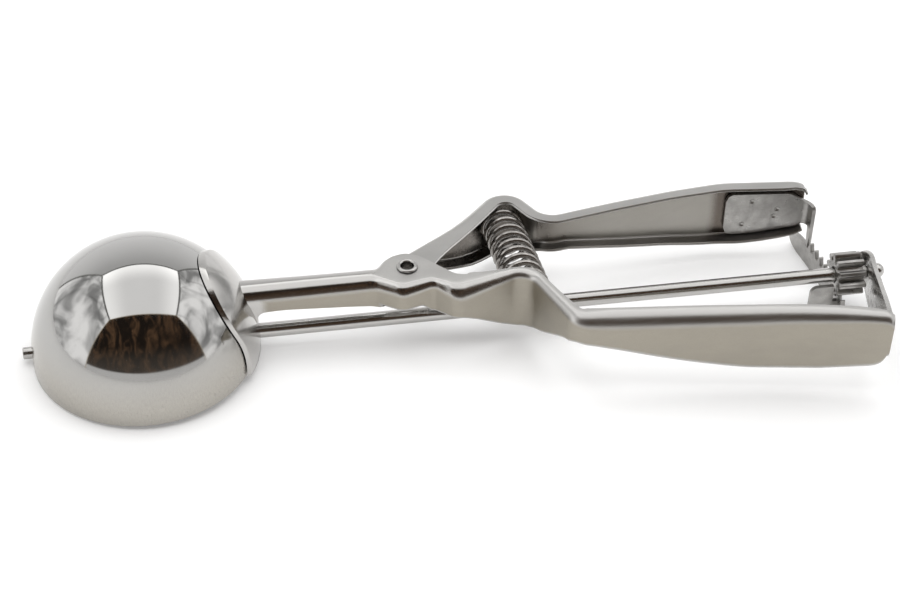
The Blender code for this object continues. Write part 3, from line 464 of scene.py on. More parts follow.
def soften(item, width, angle=40.0):
    """Break the sharp edges."""
    step = item.modifiers.new("soften", "BEVEL")
    step.width = width
    step.segments = BREAK_STEPS
    step.limit_method = "ANGLE"
    step.angle_limit = math.radians(angle)
    step.use_clamp_overlap = True
    apply_modifiers(item)


def place(item, name, body, node, steel, sharp=38.0):
    """Name, shade and colour one finished piece and let it ride on its body, if it has one."""
    if len(item.data.polygons) < LEAST_FACES:
        raise RuntimeError(name + " has no shape")
    item.name = name
    item.data.name = name
    item.data.materials.clear()
    item.data.materials.append(steel)
    work = bmesh.new()
    work.from_mesh(item.data)
    bmesh.ops.remove_doubles(work, verts=work.verts, dist=WELD)
    bmesh.ops.dissolve_degenerate(work, edges=work.edges, dist=WELD)
    work.to_mesh(item.data)
    work.free()
    item.data.shade_smooth()
    item.data.set_sharp_from_angle(angle=math.radians(sharp))
    spots = numpy.zeros(len(item.data.vertices) * 3, numpy.float32)
    item.data.vertices.foreach_get("co", spots)
    kept = item.data.attributes.new(PLACE_NAME, "FLOAT_VECTOR", "POINT")
    kept.data.foreach_set("vector", spots)
    item.data.transform(tool_matrix())
    if body:
        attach(item, body)
    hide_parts(node)
    return item


def curve(knots, at):
    """Smooth curve through (position, value) knots, flat beyond both ends."""
    xs = [knot[0] for knot in knots]
    ys = [knot[1] for knot in knots]
    if at <= xs[0]:
        return ys[0]
    if at >= xs[-1]:
        return ys[-1]
    i = int(numpy.searchsorted(xs, at, side="right")) - 1
    width = xs[i + 1] - xs[i]
    rise = (ys[i + 1] - ys[i]) / width

    def slope(j):
        if j == 0 or j == len(xs) - 1:
            return 0.0
        before = (ys[j] - ys[j - 1]) / (xs[j] - xs[j - 1])
        after = (ys[j + 1] - ys[j]) / (xs[j + 1] - xs[j])
        if before * after <= 0.0:
            return 0.0
        return 2.0 * before * after / (before + after)

    t = (at - xs[i]) / width
    start, end = slope(i) * width, slope(i + 1) * width
    low = ys[i] + t * start + t * t * (3.0 * rise * width - 2.0 * start - end)
    return low + t * t * t * (start + end - 2.0 * rise * width)


def rail(corners, spacing):
    """Stations (point, direction) along straight runs joined by round corners.

    corners holds (x, y, radius); spacing(x) gives the longest straight step there."""
    points = [Vector((c[0], c[1])) for c in corners]
    runs = []
    start = points[0]
    for before, here, after, corner in zip(points, points[1:], points[2:], corners[1:]):
        into = (here - before).normalized()
        out = (after - here).normalized()
        turn = into.angle_signed(out)
        reach = corner[2] * math.tan(abs(turn) / 2.0)
        first, last = here - into * reach, here + out * reach
        runs.append(("line", start, first))
        runs.append(("arc", first, into, -turn, corner[2]))
        start = last
    runs.append(("line", start, points[-1]))
    stations = []
    for run in runs:
        if run[0] == "line":
            along = (run[2] - run[1]).normalized()
            length = (run[2] - run[1]).length
            done = 0.0
            while done < length - spacing(run[1].x + along.x * done) * LAST_STEP:
                stations.append((run[1] + along * done, along))
                done += spacing(run[1].x + along.x * done)
        else:
            first, into, turn, radius = run[1:]
            side = 1.0 if turn > 0.0 else -1.0
            centre = first + Vector((-into.y, into.x)) * radius * side
            steps = max(2, math.ceil(abs(turn) / BEND_STEP))
            for i in range(steps):
                spin = Matrix.Rotation(turn * i / steps, 2)
                stations.append((centre + spin @ (first - centre), spin @ into))
    stations.append((points[-1], (points[-1] - points[-2]).normalized()))
    return stations


def skin(name, rings):
    """Closed surface over rings of equal point counts, flat at both ends."""
    count = len(rings[0])
    points = [point for ring in rings for point in ring]
    faces = [tuple(range(count)), tuple(range(len(points) - 1, len(points) - count - 1, -1))]
    for i in range(len(rings) - 1):
        for j in range(count):
            k = (j + 1) % count
            faces.append((i * count + j, i * count + k, (i + 1) * count + k, (i + 1) * count + j))
    return mesh_object(name, points, faces)


def oval_points(centre, wide, high, start, sweep, steps):
    angles = [start + sweep * i / steps for i in range(steps + 1)]
    return [(centre[0] + wide * math.cos(a), centre[1] + high * math.sin(a)) for a in angles]


def arc_points(centre, radius, start, sweep, steps):
    return oval_points(centre, radius, radius, start, sweep, steps)


def left_of(along):
    return Vector((-along.y, along.x))


def round_edge(first, last):
    """Points round the free edge of a sheet, between its two skins."""
    first, last = Vector(first), Vector(last)
    middle = (first + last) / 2.0
    spoke = first - middle
    points = []
    for i in range(1, EDGE_STEPS):
        turn = Matrix.Rotation(-math.pi * i / EDGE_STEPS, 2)
        points.append(tuple(middle + turn @ spoke))
    return points


def channel_ring(point, along, outward, top, form, thin=0.0):
    """Ring of one channel station. outward points from the wall to the open side."""
    square = abs(along.x * outward.y - along.y * outward.x)
    sheet = sizes().sheet
    far_r, near_r, low_r = form["far_radius"], form["near_radius"], form["low_radius"]
    fold, low_fold = form["fold"], form["low_fold"]
    leg = max(LEAST_RUN, form["leg"] - sheet / 2.0)
    lip = max(LEAST_RUN, form["lip"] - sheet / 2.0)
    far = form["depth"] - far_r * math.sin(fold) - form["leg"] * math.cos(fold)
    low = top - form["height"]
    loops = []
    for inset in (thin, sheet - thin):
        line = arc_points((far, top - far_r), far_r - inset, math.pi / 2.0 - fold, fold,
                          FAR_STEPS)
        line.insert(0, (line[0][0] + math.cos(fold) * leg, line[0][1] - math.sin(fold) * leg))
        wide = inset / square
        line += oval_points((near_r, top - near_r), near_r - wide, near_r - inset,
                            math.pi / 2.0, math.pi / 2.0, NEAR_STEPS)
        line += oval_points((low_r, low + low_r), low_r - wide, low_r - inset, math.pi, low_fold,
                            LOW_STEPS)
        line.append((line[-1][0] + math.sin(low_fold) * lip,
                     line[-1][1] - math.cos(low_fold) * lip))
        loops.append(line)
    ring = loops[0] + round_edge(loops[0][-1], loops[1][-1])
    ring += loops[1][::-1] + round_edge(loops[1][0], loops[0][0])
    return [(point.x + outward.x * u, point.y + outward.y * u, z) for u, z in ring]


def tail(stations, length, drop):
    """(point, direction, drop) for stations whose ridge turns down at the end."""
    end = stations[-1][0]
    out = []
    for point, along in stations:
        left = (end - point).length
        fall = 0.0
        if left < length:
            fall = drop * (1.0 - math.sqrt(max(0.0, 1.0 - (1.0 - left / length) ** 2)))
        out.append((point, along, fall))
    return out


def turned(name, profile, axis, sides):
    """Solid turned from (along, radius) points around the X or Z axis."""
    work = bmesh.new()
    line = [work.verts.new((r, 0.0, a)) for a, r in profile]
    edges = [work.edges.new(pair) for pair in zip(line, line[1:])]
    if profile[0][1] > 0.0 and profile[-1][1] > 0.0:
        edges.append(work.edges.new((line[-1], line[0])))
    bmesh.ops.spin(work, geom=line + edges, cent=(0.0, 0.0, 0.0), axis=(0.0, 0.0, 1.0),
                   angle=math.tau, steps=sides, use_merge=True)
    bmesh.ops.remove_doubles(work, verts=work.verts, dist=WELD)
    bmesh.ops.recalc_face_normals(work, faces=work.faces)
    mesh = bpy.data.meshes.new(name)
    work.to_mesh(mesh)
    work.free()
    if axis == "X":
        mesh.transform(Matrix.Rotation(math.pi / 2.0, 4, "Y"))
    made = bpy.data.objects.new(name, mesh)
    bpy.context.scene.collection.objects.link(made)
    return made


def pin(name, radius, start, end, axis, sides=48, at=(0.0, 0.0, 0.0)):
    made = turned(name, [(end, 0.0), (end, radius), (start, radius), (start, 0.0)], axis, sides)
    made.data.transform(Matrix.Translation(at))
    return made


def prism(name, outline, start, end, axis):
    """Solid between two parallel planes. The outline is (y, z) for X and (x, y) for Z."""
    if axis == "X":
        rings = [[(x, a, b) for a, b in outline] for x in (start, end)]
    else:
        rings = [[(a, b, z) for a, b in outline] for z in (start, end)]
    return skin(name, rings)


def dome_line(radius, foot):
    """Quarter circle and skirt as (z, radius), from the top down."""
    angles = [math.pi / 2.0 * (1.0 - i / BOWL_RINGS) for i in range(BOWL_RINGS + 1)]
    profile = [(radius * math.sin(a), max(0.0, radius * math.cos(a))) for a in angles]
    profile[0] = (radius, 0.0)
    return profile + [(foot, radius)]


def dome(name, radius, foot):
    return turned(name, dome_line(radius, foot) + [(foot, 0.0)], "Z", BOWL_SIDES)


# Bowl and handles

def make_bowl():
    outer = sizes().bowl_radius
    wall = sizes().bowl_wall
    lip = wall / 2.0
    inner = outer - wall
    profile = dome_line(outer, RIM_Z + lip)
    profile += [(RIM_Z + lip + lip * math.sin(a), outer - lip + lip * math.cos(a))
                for a in [-math.pi * i / RIM_STEPS for i in range(1, RIM_STEPS)]]
    profile += dome_line(inner, RIM_Z + lip)[::-1]
    bowl = turned("bowl", profile, "Z", BOWL_SIDES)
    combine(bowl, pin("rod_hole", sizes().rod_radius + GAP, inner / 2.0, outer * HOLE_REACH,
                      "X"),
            "DIFFERENCE")
    combine(bowl, pin("tip_hole", TIP_PIN_RADIUS + GAP, -outer * HOLE_REACH, -inner / 2.0,
                      "X"),
            "DIFFERENCE")
    return place(bowl, "bowl_shell", "frame", "bowl", mirror_steel(), 30.0)


def saddle():
    """Round-topped patch that lies on the bowl, with a rounded border."""
    inner = sizes().bowl_radius + GAP
    outer = inner + sizes().sheet
    patch = dome("saddle", outer, RIM_Z + GAP)
    combine(patch, dome("saddle_inside", inner, RIM_Z - sizes().bowl_wall), "DIFFERENCE")
    half = SADDLE_HALF_WIDTH
    arch = [(half, RIM_Z * 2.0)] + arc_points((0.0, SADDLE_SHOULDER_Z), half, 0.0, math.pi,
                                               SADDLE_STEPS)
    arch.append((-half, RIM_Z * 2.0))
    combine(patch, prism("arch", arch, outer * 0.2, outer * PATCH_REACH, "X"),
            "INTERSECT")
    soften(patch, SADDLE_BREAK, 50.0)
    return patch


def fixed_height(x):
    """Height of the fixed handle, whose walls turn down to the rod beside the bowl."""
    if x <= NECK_ROOT_X:
        return TOP_Z - NECK_ROOT_Z
    height = curve(FIXED_HEIGHTS, x)
    run = NECK_ROOT_X + NECK_ROOT_FILLET - x
    if run <= 0.0:
        return height
    return height + NECK_ROOT_FILLET - math.sqrt(NECK_ROOT_FILLET ** 2 - run ** 2)


def fixed_outward(point, along):
    """Section direction: square to the rod round the pivot, square to the wall behind it."""
    if point.x < CROSS_END_X:
        return Vector((0.0, 1.0))
    share = min(1.0, (point.x - CROSS_END_X) / (TURN_END_X - CROSS_END_X))
    return Vector((0.0, 1.0)).lerp(left_of(along), share).normalized()


def ear_edge(x):
    """Free edge of the lower ear, round about the pivot."""
    inside = EAR_RADIUS ** 2 - (x - PIVOT_X) ** 2
    return PIVOT_Y + math.sqrt(inside) if inside > 0.0 else -1.0


def fixed_form(point):
    x = point.x
    height = fixed_height(x)
    far_radius = curve(((NECK_END_X, NECK_FAR_RADIUS), (EAR_START_X, FAR_RADIUS)), x)
    neck_leg = height - 2.0 * GAP - far_radius
    depth = curve(FIXED_DEPTHS, x)
    if x < FIXED_EDGE[-1][0]:
        depth = curve(FIXED_EDGE, x) - point.y
    lip = max(LIP_DEPTH, ear_edge(x) - point.y)
    low_radius = curve(FIXED_LOW_RADIUS, x)
    return {
        "far_radius": far_radius,
        "near_radius": curve(FIXED_SHOULDER, x),
        "low_radius": low_radius,
        "fold": curve(((NECK_END_X, math.pi / 2.0), (EAR_START_X, FREE_FOLD)), x),
        "low_fold": curve(((NECK_END_X, FREE_FOLD), (EAR_START_X, math.pi / 2.0)), x),
        "leg": curve(((NECK_LEG_END_X, neck_leg), (NECK_END_X, FREE_LEG)), x),
        "lip": curve(((NECK_END_X, NECK_LIP), (EAR_START_X, lip - low_radius)), x),
        "depth": depth,
        "height": height,
    }


def fixed_spacing(x):
    if x < NECK_ROOT_X + NECK_ROOT_FILLET:
        return ROOT_STEP
    if x < NECK_LEG_END_X:
        return NECK_STEP
    if x < CROSS_END_X:
        return EAR_STEP
    if x < TURN_END_X:
        return TURN_STEP
    return GRIP_STEP if x <= FIXED_END_X else END_STEP


def flare():
    """Concave fillet where the neck meets the saddle, as one bead round the neck."""
    ball = sizes().bowl_radius + GAP + sizes().sheet
    near, far = FIXED_RAIL[0][1], FIXED_EDGE[0][1]
    near_radius, low = FIXED_SHOULDER[0][1], NECK_ROOT_Z
    section = [(near, low + (TOP_Z - near_radius - low) * i / FLARE_STEPS, -1.0, 0.0)
               for i in range(FLARE_STEPS)]
    for centre, radius, start in ((near + near_radius, near_radius, math.pi),
                                  (far - NECK_FAR_RADIUS, NECK_FAR_RADIUS, math.pi / 2.0)):
        for i in range(FLARE_STEPS + 1):
            a = start - math.pi / 2.0 * i / FLARE_STEPS
            section.append((centre + radius * math.cos(a), TOP_Z - radius + radius * math.sin(a),
                            math.cos(a), math.sin(a)))
    section += [(far, low + (TOP_Z - NECK_FAR_RADIUS - low) * (FLARE_STEPS - i) / FLARE_STEPS,
                 1.0, 0.0) for i in range(1, FLARE_STEPS + 1)]
    rings = []
    for y, z, side, up in section:
        reach = curve(FLARE, z)
        root = math.sqrt(ball ** 2 - y * y - max(0.0, z) ** 2)
        base = Vector((root, y, z))
        normal = Vector((root, y, max(0.0, z))).normalized()
        out = Vector((0.0, side, up))
        slide = (out - normal * out.dot(normal)).normalized()
        first = base + Vector((reach, 0.0, 0.0))
        last = base + slide * reach
        lean = Vector((last.x, last.y, max(0.0, last.z)))
        last += lean.normalized() * (ball - lean.length)
        ring = []
        for i in range(FLARE_CURVE_STEPS + 1):
            u = i / FLARE_CURVE_STEPS
            ring.append(first * (1.0 - u) ** 2 + base * 2.0 * u * (1.0 - u) + last * u * u)
        ring.append(last - normal * FLARE_SINK)
        ring.append(base - normal * FLARE_SINK - out * FLARE_SINK)
        ring.append(first - out * FLARE_SINK)
        rings.append(ring)
    return skin("flare", rings)


def make_fixed_handle():
    rings = []
    stations = tail(rail(FIXED_RAIL, fixed_spacing), *FIXED_TAIL)
    for point, along, fall in stations:
        form = fixed_form(point)
        form["height"] -= fall
        rings.append(channel_ring(point, along, fixed_outward(point, along), TOP_Z - fall, form))
    rings += closing(stations[-1], left_of(along), TOP_Z, fixed_form(stations[-1][0]))
    handle = skin("fixed_handle", rings)
    ball = sizes().bowl_radius + GAP
    combine(handle, dome("bowl_room", ball + sizes().sheet / 2.0, RIM_Z * 2.0), "DIFFERENCE")
    combine(handle, saddle(), "UNION")
    join(handle, flare())
    combine(handle, pin("rod_room", sizes().rod_radius + GAP, ball / 2.0,
                        ball * PATCH_REACH, "X"), "DIFFERENCE")
    combine(handle, pin("rivet_hole", RIVET_RADIUS + GAP, 0.0, TOP_Z * 2.0, "Z",
                        at=(PIVOT_X, PIVOT_Y, 0.0)), "DIFFERENCE")
    return place(handle, "fixed_grip", "frame", "fixed_handle",
                 handle_steel("fixed_grip_steel", True))


def closing(station, outward, top, form):
    """Rings that thin the sheet to a round edge at the end of a handle."""
    point, along, fall = station
    sheet = sizes().sheet
    rings = []
    form["height"] -= fall
    for i in range(1, CLOSING_STEPS):
        angle = math.pi / 2.0 * i / CLOSING_STEPS
        ahead = point + along * sheet / 2.0 * math.sin(angle)
        thin = sheet / 2.0 * (1.0 - math.cos(angle))
        rings.append(channel_ring(ahead, along, outward, top - fall, form, thin))
    return rings


def moving_ear_height():
    return EAR_HEIGHT - 2.0 * (sizes().sheet + GAP)


def moving_height(x):
    return curve(((MOVING_EAR_END_X, moving_ear_height()), *MOVING_HEIGHTS), x)


def moving_form(x):
    depth = curve(MOVING_DEPTHS, x)
    low_depth = depth if x > MOVING_LEVEL_X else curve(MOVING_LOW_DEPTHS, x)
    return {
        "far_radius": FAR_RADIUS,
        "near_radius": curve(MOVING_SHOULDER, x),
        "low_radius": MOVING_LOW_RADIUS,
        "fold": FREE_FOLD,
        "low_fold": math.pi / 2.0,
        "leg": FREE_LEG,
        "lip": low_depth - MOVING_LOW_RADIUS,
        "depth": depth,
        "height": moving_height(x),
    }


def moving_spacing(x):
    if x < MOVING_GRIP_X:
        return MOVING_EAR_STEP
    return GRIP_STEP if x < MOVING_END_X else END_STEP


def make_moving_handle():
    sheet = sizes().sheet
    top = TOP_Z - sheet - GAP
    rings = []
    stations = tail(rail(MOVING_RAIL, moving_spacing), *MOVING_TAIL)
    for point, along, fall in stations:
        form = moving_form(point.x)
        form["height"] -= fall
        rings.append(channel_ring(point, along, -left_of(along), top - fall, form))
    rings += closing(stations[-1], -left_of(along), top, moving_form(stations[-1][0].x))
    handle = skin("moving_handle", rings)
    at = (PIVOT_X, PIVOT_Y, 0.0)
    for low in (top - sheet, top - moving_ear_height()):
        eye = pin("eye", MOVING_EAR_RADIUS, low + SINK, low + sheet - SINK, "Z", 64, at)
        combine(handle, eye, "UNION")
    combine(handle, pin("rivet_hole", RIVET_RADIUS + GAP, 0.0, TOP_Z * 2.0, "Z", at=at),
            "DIFFERENCE")
    return place(handle, "moving_grip", "lever", "moving_handle",
                 handle_steel("moving_grip_steel", False))


def make_rivet():
    """Hollow rivet through the four ears, rolled over at both ends."""
    high, low = TOP_Z + GAP, TOP_Z - EAR_HEIGHT - GAP
    lift = RIVET_FLANGE_HEIGHT
    middle = (RIVET_FLANGE + RIVET_BORE) / 2.0
    half = (RIVET_FLANGE - RIVET_BORE) / 2.0
    upper = [(high + lift * math.sin(a), middle - half * math.cos(a))
             for a in [math.pi * i / RIVET_STEPS for i in range(RIVET_STEPS + 1)]]
    lower = [(low - (z - high), r) for z, r in upper[::-1]]
    profile = upper + [(high, RIVET_RADIUS), (low, RIVET_RADIUS)] + lower
    rivet = turned("pivot_rivet", profile, "Z", 72)
    rivet.data.transform(Matrix.Translation((PIVOT_X, PIVOT_Y, 0.0)))
    return place(rivet, "hollow_rivet", "frame", "pivot_rivet",
                 plain_steel("rivet_steel", RIVET_GLOSS), 50.0)


def make_spring():
    """Compression spring over the drive rod, built at rest between the handles."""
    wire = sizes().spring_wire
    curls = sizes().spring_curls
    axis = SPRING_FAR - SPRING_NEAR
    length = axis.length
    axis.normalize()
    across = axis.cross(Vector((0.0, 0.0, 1.0))).normalized()
    upward = across.cross(axis)
    middle = sizes().spring_radius - wire / 2.0
    count = round(curls * SPRING_POINTS)
    points = []
    for i in range(count + 1):
        turn = math.tau * curls * i / count
        along = wire / 2.0 + (length - wire) * i / count
        points.append(SPRING_NEAR + axis * along
                      + (across * math.cos(turn) + upward * math.sin(turn)) * middle)
    points.insert(0, points[0] - upward * wire)
    last = math.tau * curls
    points.append(points[-1] + (upward * math.cos(last) - across * math.sin(last)) * wire)
    line = bpy.data.curves.new("handle_spring", "CURVE")
    line.dimensions = "3D"
    strand = line.splines.new("POLY")
    strand.points.add(len(points) - 1)
    for spot, point in zip(strand.points, points):
        spot.co = (*point, 1.0)
    line.bevel_depth = wire / 2.0
    line.bevel_resolution = 4
    line.use_fill_caps = True
    coil = bpy.data.objects.new("handle_spring", line)
    bpy.context.scene.collection.objects.link(coil)
    bpy.context.view_layer.update()
    mesh = bpy.data.meshes.new_from_object(
        coil.evaluated_get(bpy.context.evaluated_depsgraph_get()))
    bpy.data.objects.remove(coil, do_unlink=True)
    made = bpy.data.objects.new("handle_spring", mesh)
    bpy.context.scene.collection.objects.link(made)
    made = place(made, "return_spring", None, "handle_spring",
                 wire_steel(), 60.0)
    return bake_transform(made)


# Rack, pinion, rod and scraper

def arc_station(along, radius=RACK_RADIUS):
    """Point and direction on the rack's arc, measured from above the rod."""
    start = math.asin(-PIVOT_Y / radius)
    angle = start + along / RACK_RADIUS
    point = Vector((PIVOT_X + radius * math.cos(angle), PIVOT_Y + radius * math.sin(angle)))
    return point, Vector((-math.sin(angle), math.cos(angle)))


def plate_ring(point, along, low, high, thickness=PLATE):
    half = Vector((-along.y, along.x)) * thickness / 2.0
    a, b = point + half, point - half
    return [(a.x, a.y, low), (b.x, b.y, low), (b.x, b.y, high), (a.x, a.y, high)]


def rack_outline():
    """Upper edge of the rack as (distance along it, height), with softened crests."""
    pitch = math.pi * MODULE
    pitch_radius = MODULE * sizes().pinion_teeth / 2.0
    crest_z = -pitch_radius + MODULE
    root_z = -pitch_radius - MODULE - ROOT_CLEARANCE
    lean = math.tan(PRESSURE_ANGLE)
    crest = pitch * (1.0 - PINION_SHARE) / 2.0 - BACKLASH / 4.0 - MODULE * lean
    root = crest + (crest_z - root_z) * lean
    first, second, third = CREST_STARTS
    edge = [(-pitch * (RACK_CRESTS_BEHIND + 0.5), root_z)]
    for k in range(-RACK_CRESTS_BEHIND, RACK_CRESTS_AHEAD + 1):
        middle = k * pitch
        tooth = [(root, root_z), (crest + first * lean, crest_z - first),
                 (crest + CREST_EASE, crest_z - second), (crest * CREST_FLAT, crest_z - third)]
        edge += [(middle - s, z) for s, z in tooth] + [(middle + s, z) for s, z in tooth[::-1]]
    return edge


def crossing(start, along, foot, inward):
    """Point where two lines in plan meet."""
    across = along.x * inward.y - along.y * inward.x
    gap = foot - start
    return start + along * ((gap.x * inward.y - gap.y * inward.x) / across)


def leg_path():
    """Plan line of the leg: from the rack's arc, round a bend and along the moving grip."""
    start, along = arc_station(LEG_BEND)
    web_a, web_b = Vector(MOVING_RAIL[-2][:2]), Vector(MOVING_RAIL[-1][:2])
    inward = (web_a - web_b).normalized()
    off = Vector((-inward.y, inward.x)) * (sizes().sheet + GAP + PLATE / 2.0)
    foot = web_b + off
    meet = crossing(start, along, foot, inward)
    end = foot + inward * ((foot.x - FOOT_END_X) / -inward.x)
    return start, along, meet, end, inward


def rack_leg():
    """Plate that rises from the rack and turns along the inside of the moving handle."""
    bottom, top = RACK_FOOT_Z + PLATE, LEG_TOP_Z
    thin = PLATE - 2.0 * SINK
    rings = [plate_ring(*arc_station(LEG_START), bottom, top - LEG_DIP, thin)]
    start, along, meet, end, _ = leg_path()
    rings.append(plate_ring(start, along, bottom, top, thin))
    path = [(start.x, start.y, 0.0), (meet.x, meet.y, LEG_FILLET), (end.x, end.y, 0.0)]
    reach = start.x - FOOT_END_X
    moving_top = TOP_Z - sizes().sheet - GAP
    near_foot = FOOT_END_X + FOOT_STEP_REACH
    stations = rail(path, lambda x: FOOT_STEP if x < near_foot else LEG_STEP)
    for point, direction in stations[1:]:
        gone = (start.x - point.x) / reach
        floor = moving_top - moving_height(point.x) + MOVING_LOW_RADIUS + GAP
        low = floor if point.x < MOVING_RAIL[-1][0] + LEG_FILLET else bottom
        high = curve(((0.0, top), (LEG_RISE, FOOT_TOP_Z)), gone)
        left = max(0.0, FOOT_CORNER - (point.x - FOOT_END_X))
        trim = FOOT_CORNER - math.sqrt(max(0.0, FOOT_CORNER ** 2 - left ** 2))
        rings.append(plate_ring(point, direction, low + trim, high - trim, thin))
    return skin("leg", rings)


def rack_stop():
    """Tab beside the rod that stops the opening swing."""
    pitch_radius = MODULE * sizes().pinion_teeth / 2.0
    face = RACK_X - PLATE / 2.0
    clear = PINION_START - 2.0 * GAP
    pinion_floor = -pitch_radius - MODULE - 2.0 * GAP
    low = RACK_FOOT_Z + PLATE
    outline = arc_points((STOP_START_X + STOP_CORNER, STOP_TOP_Z - STOP_CORNER), STOP_CORNER,
                         math.pi, -math.pi / 2.0, 10)
    outline += [(clear, STOP_TOP_Z), (clear, pinion_floor), (face + PLATE / 2.0, pinion_floor),
                (face + PLATE / 2.0, low), (STOP_START_X, low)]
    beside = -sizes().rod_radius - GAP
    rings = [[(x, y, z) for x, z in outline] for y in (beside, beside - PLATE)]
    return skin("stop", rings)


def make_rack():
    rings = [plate_ring(*arc_station(s), RACK_FOOT_Z, z) for s, z in rack_outline()]
    shelf = rack_outline()[-1][1]
    rings.append(plate_ring(*arc_station(LOBE_START), RACK_FOOT_Z, shelf))
    for i in range(1, LOBE_STEPS + 1):
        angle = math.pi / 2.0 * i / LOBE_STEPS * LOBE_SWEEP
        run = LOBE_START + LOBE_LENGTH * math.sin(angle)
        shrink = (shelf - RACK_FOOT_Z) / 2.0 * (1.0 - math.cos(angle))
        rings.append(plate_ring(*arc_station(run), RACK_FOOT_Z + shrink, shelf - shrink))
    rack = skin("rack", rings)
    combine(rack, rack_leg(), "UNION")
    combine(rack, rack_stop(), "UNION")
    for dent in weld_dents():
        combine(rack, dent, "DIFFERENCE")
    soften(rack, RACK_BREAK)
    return place(rack, "toothed_rack", "lever", "rack", gear_steel("rack_steel"))


def weld_dents():
    """Shallow round dents that spot welds leave on the foot."""
    _, _, meet, end, inward = leg_path()
    face = Vector((-inward.y, inward.x))
    if face.y > 0.0:
        face = -face
    dents = []
    for along, up in WELD_DOTS:
        spot = end + (meet - end) * along
        z = WELD_LOW_Z + (FOOT_TOP_Z - WELD_LOW_Z) * up
        ball = bpy.data.meshes.new("dent")
        work = bmesh.new()
        bmesh.ops.create_icosphere(work, subdivisions=4, radius=WELD_DOT_RADIUS)
        work.to_mesh(ball)
        work.free()
        centre = spot + face * (PLATE / 2.0 - SINK + WELD_DOT_LIFT)
        ball.transform(Matrix.Translation((centre.x, centre.y, z)))
        dent = bpy.data.objects.new("dent", ball)
        bpy.context.scene.collection.objects.link(dent)
        dents.append(dent)
    return dents


def make_pinion():
    teeth = sizes().pinion_teeth
    pitch_radius = MODULE * teeth / 2.0
    tip, root = pitch_radius + MODULE, pitch_radius - MODULE - ROOT_CLEARANCE
    base = pitch_radius * math.cos(PRESSURE_ANGLE)
    involute_pitch = math.tan(PRESSURE_ANGLE) - PRESSURE_ANGLE
    half = math.pi * PINION_SHARE / teeth - BACKLASH / 4.0 / pitch_radius
    flank = [(root + up, half * share) for up, share in PINION_ROOT]
    flank.append((base * PINION_NECK[0], half * PINION_NECK[1]))
    for share in FLANK_SHARES:
        radius = base + (tip - base) * share
        slant = math.acos(base / radius)
        flank.append((radius, half + involute_pitch - (math.tan(slant) - slant)))
    outline = []
    for k in range(teeth):
        middle = math.tau * (k + 0.5) / teeth - math.pi / 2.0
        tooth = [(r, middle - a) for r, a in flank] + [(r, middle + a) for r, a in flank[::-1]]
        outline += [(r * math.cos(a), r * math.sin(a)) for r, a in tooth]
    pinion = prism("pinion", outline, PINION_START, PINION_END, "X")
    combine(pinion, pin("bore", sizes().rod_radius + GAP, PINION_START * 0.9, PINION_END * 1.1,
                        "X"), "DIFFERENCE")
    soften(pinion, PINION_BREAK)
    return place(pinion, "cut_pinion", "shaft", "pinion",
                 gear_steel("pinion_steel"))


def make_rod():
    radius = sizes().rod_radius
    head = ROD_START + ROD_HEAD_LENGTH
    shoulder = sizes().bowl_radius - sizes().bowl_wall - BLADE_CLEARANCE + GAP
    button = arc_points((BUTTON_END - BUTTON_RADIUS, 0.0), BUTTON_RADIUS, math.pi / 2.0,
                        -math.pi / 2.0, 12)
    profile = [(ROD_START, 0.0), (ROD_START, ROD_HEAD_RADIUS - PIN_CHAMFER),
               (ROD_START + PIN_CHAMFER, ROD_HEAD_RADIUS), (head, ROD_HEAD_RADIUS),
               (head, ROD_TIP_RADIUS), (shoulder, ROD_TIP_RADIUS), (shoulder, radius),
               (JOURNAL_START, radius), (JOURNAL_START, JOURNAL_RADIUS),
               (BUTTON_START, JOURNAL_RADIUS), (BUTTON_START, BUTTON_RADIUS)]
    profile += button[:-1] + [(BUTTON_END, 0.0)]
    rod = turned("drive_rod", profile[::-1], "X", 64)
    return place(rod, "turning_rod", "shaft", "drive_rod", rod_steel())


def make_scraper():
    """Half hoop that turns with the rod just inside the bowl, with an eye at each end."""
    outer = sizes().bowl_radius - sizes().bowl_wall - BLADE_CLEARANCE
    eye = BLADE_EYE_RADIUS / outer
    round_end = [math.sin(math.pi / 2.0 * i / BLADE_EYE_STEPS)
                 for i in range(BLADE_EYE_STEPS - 1, 0, -1)]
    angles = [-eye * f for f in round_end]
    angles += [math.pi * i / BLADE_STEPS for i in range(BLADE_STEPS + 1)]
    angles += [math.pi + eye * f for f in round_end[::-1]]
    rings = []
    for a in angles:
        inset = min(a, math.pi - a)
        if inset < 0.0:
            half = eye * math.sqrt(1.0 - (inset / eye) ** 2)
        else:
            half = curve(((0.0, eye), (BLADE_WIDE_ANGLE, BLADE_HALF_WIDTH / outer)), inset)
        ring = []
        shares = [-1.0 + i / 4.0 for i in range(9)]
        for radius, turns in ((outer, shares), (outer - BLADE_SHEET, shares[::-1])):
            for t in turns:
                side = half * t
                ring.append((radius * math.cos(a) * math.cos(side), -radius * math.sin(side),
                             radius * math.sin(a) * math.cos(side)))
        rings.append(ring)
    blade = skin("scraper_blade", rings)
    for start, end in ((outer * 0.7, outer * 1.1), (-outer * 1.1, -outer * 0.7)):
        radius = ROD_TIP_RADIUS if start > 0.0 else TIP_PIN_RADIUS
        combine(blade, pin("eye", radius + GAP, start, end, "X"), "DIFFERENCE")
    soften(blade, BLADE_BREAK, 50.0)
    blade.data.transform(Matrix.Rotation(BLADE_REST - math.pi / 2.0, 4, "X"))
    return place(blade, "scraper_hoop", "shaft", "scraper_blade",
                 plain_steel("blade_steel", BLADE_GLOSS))


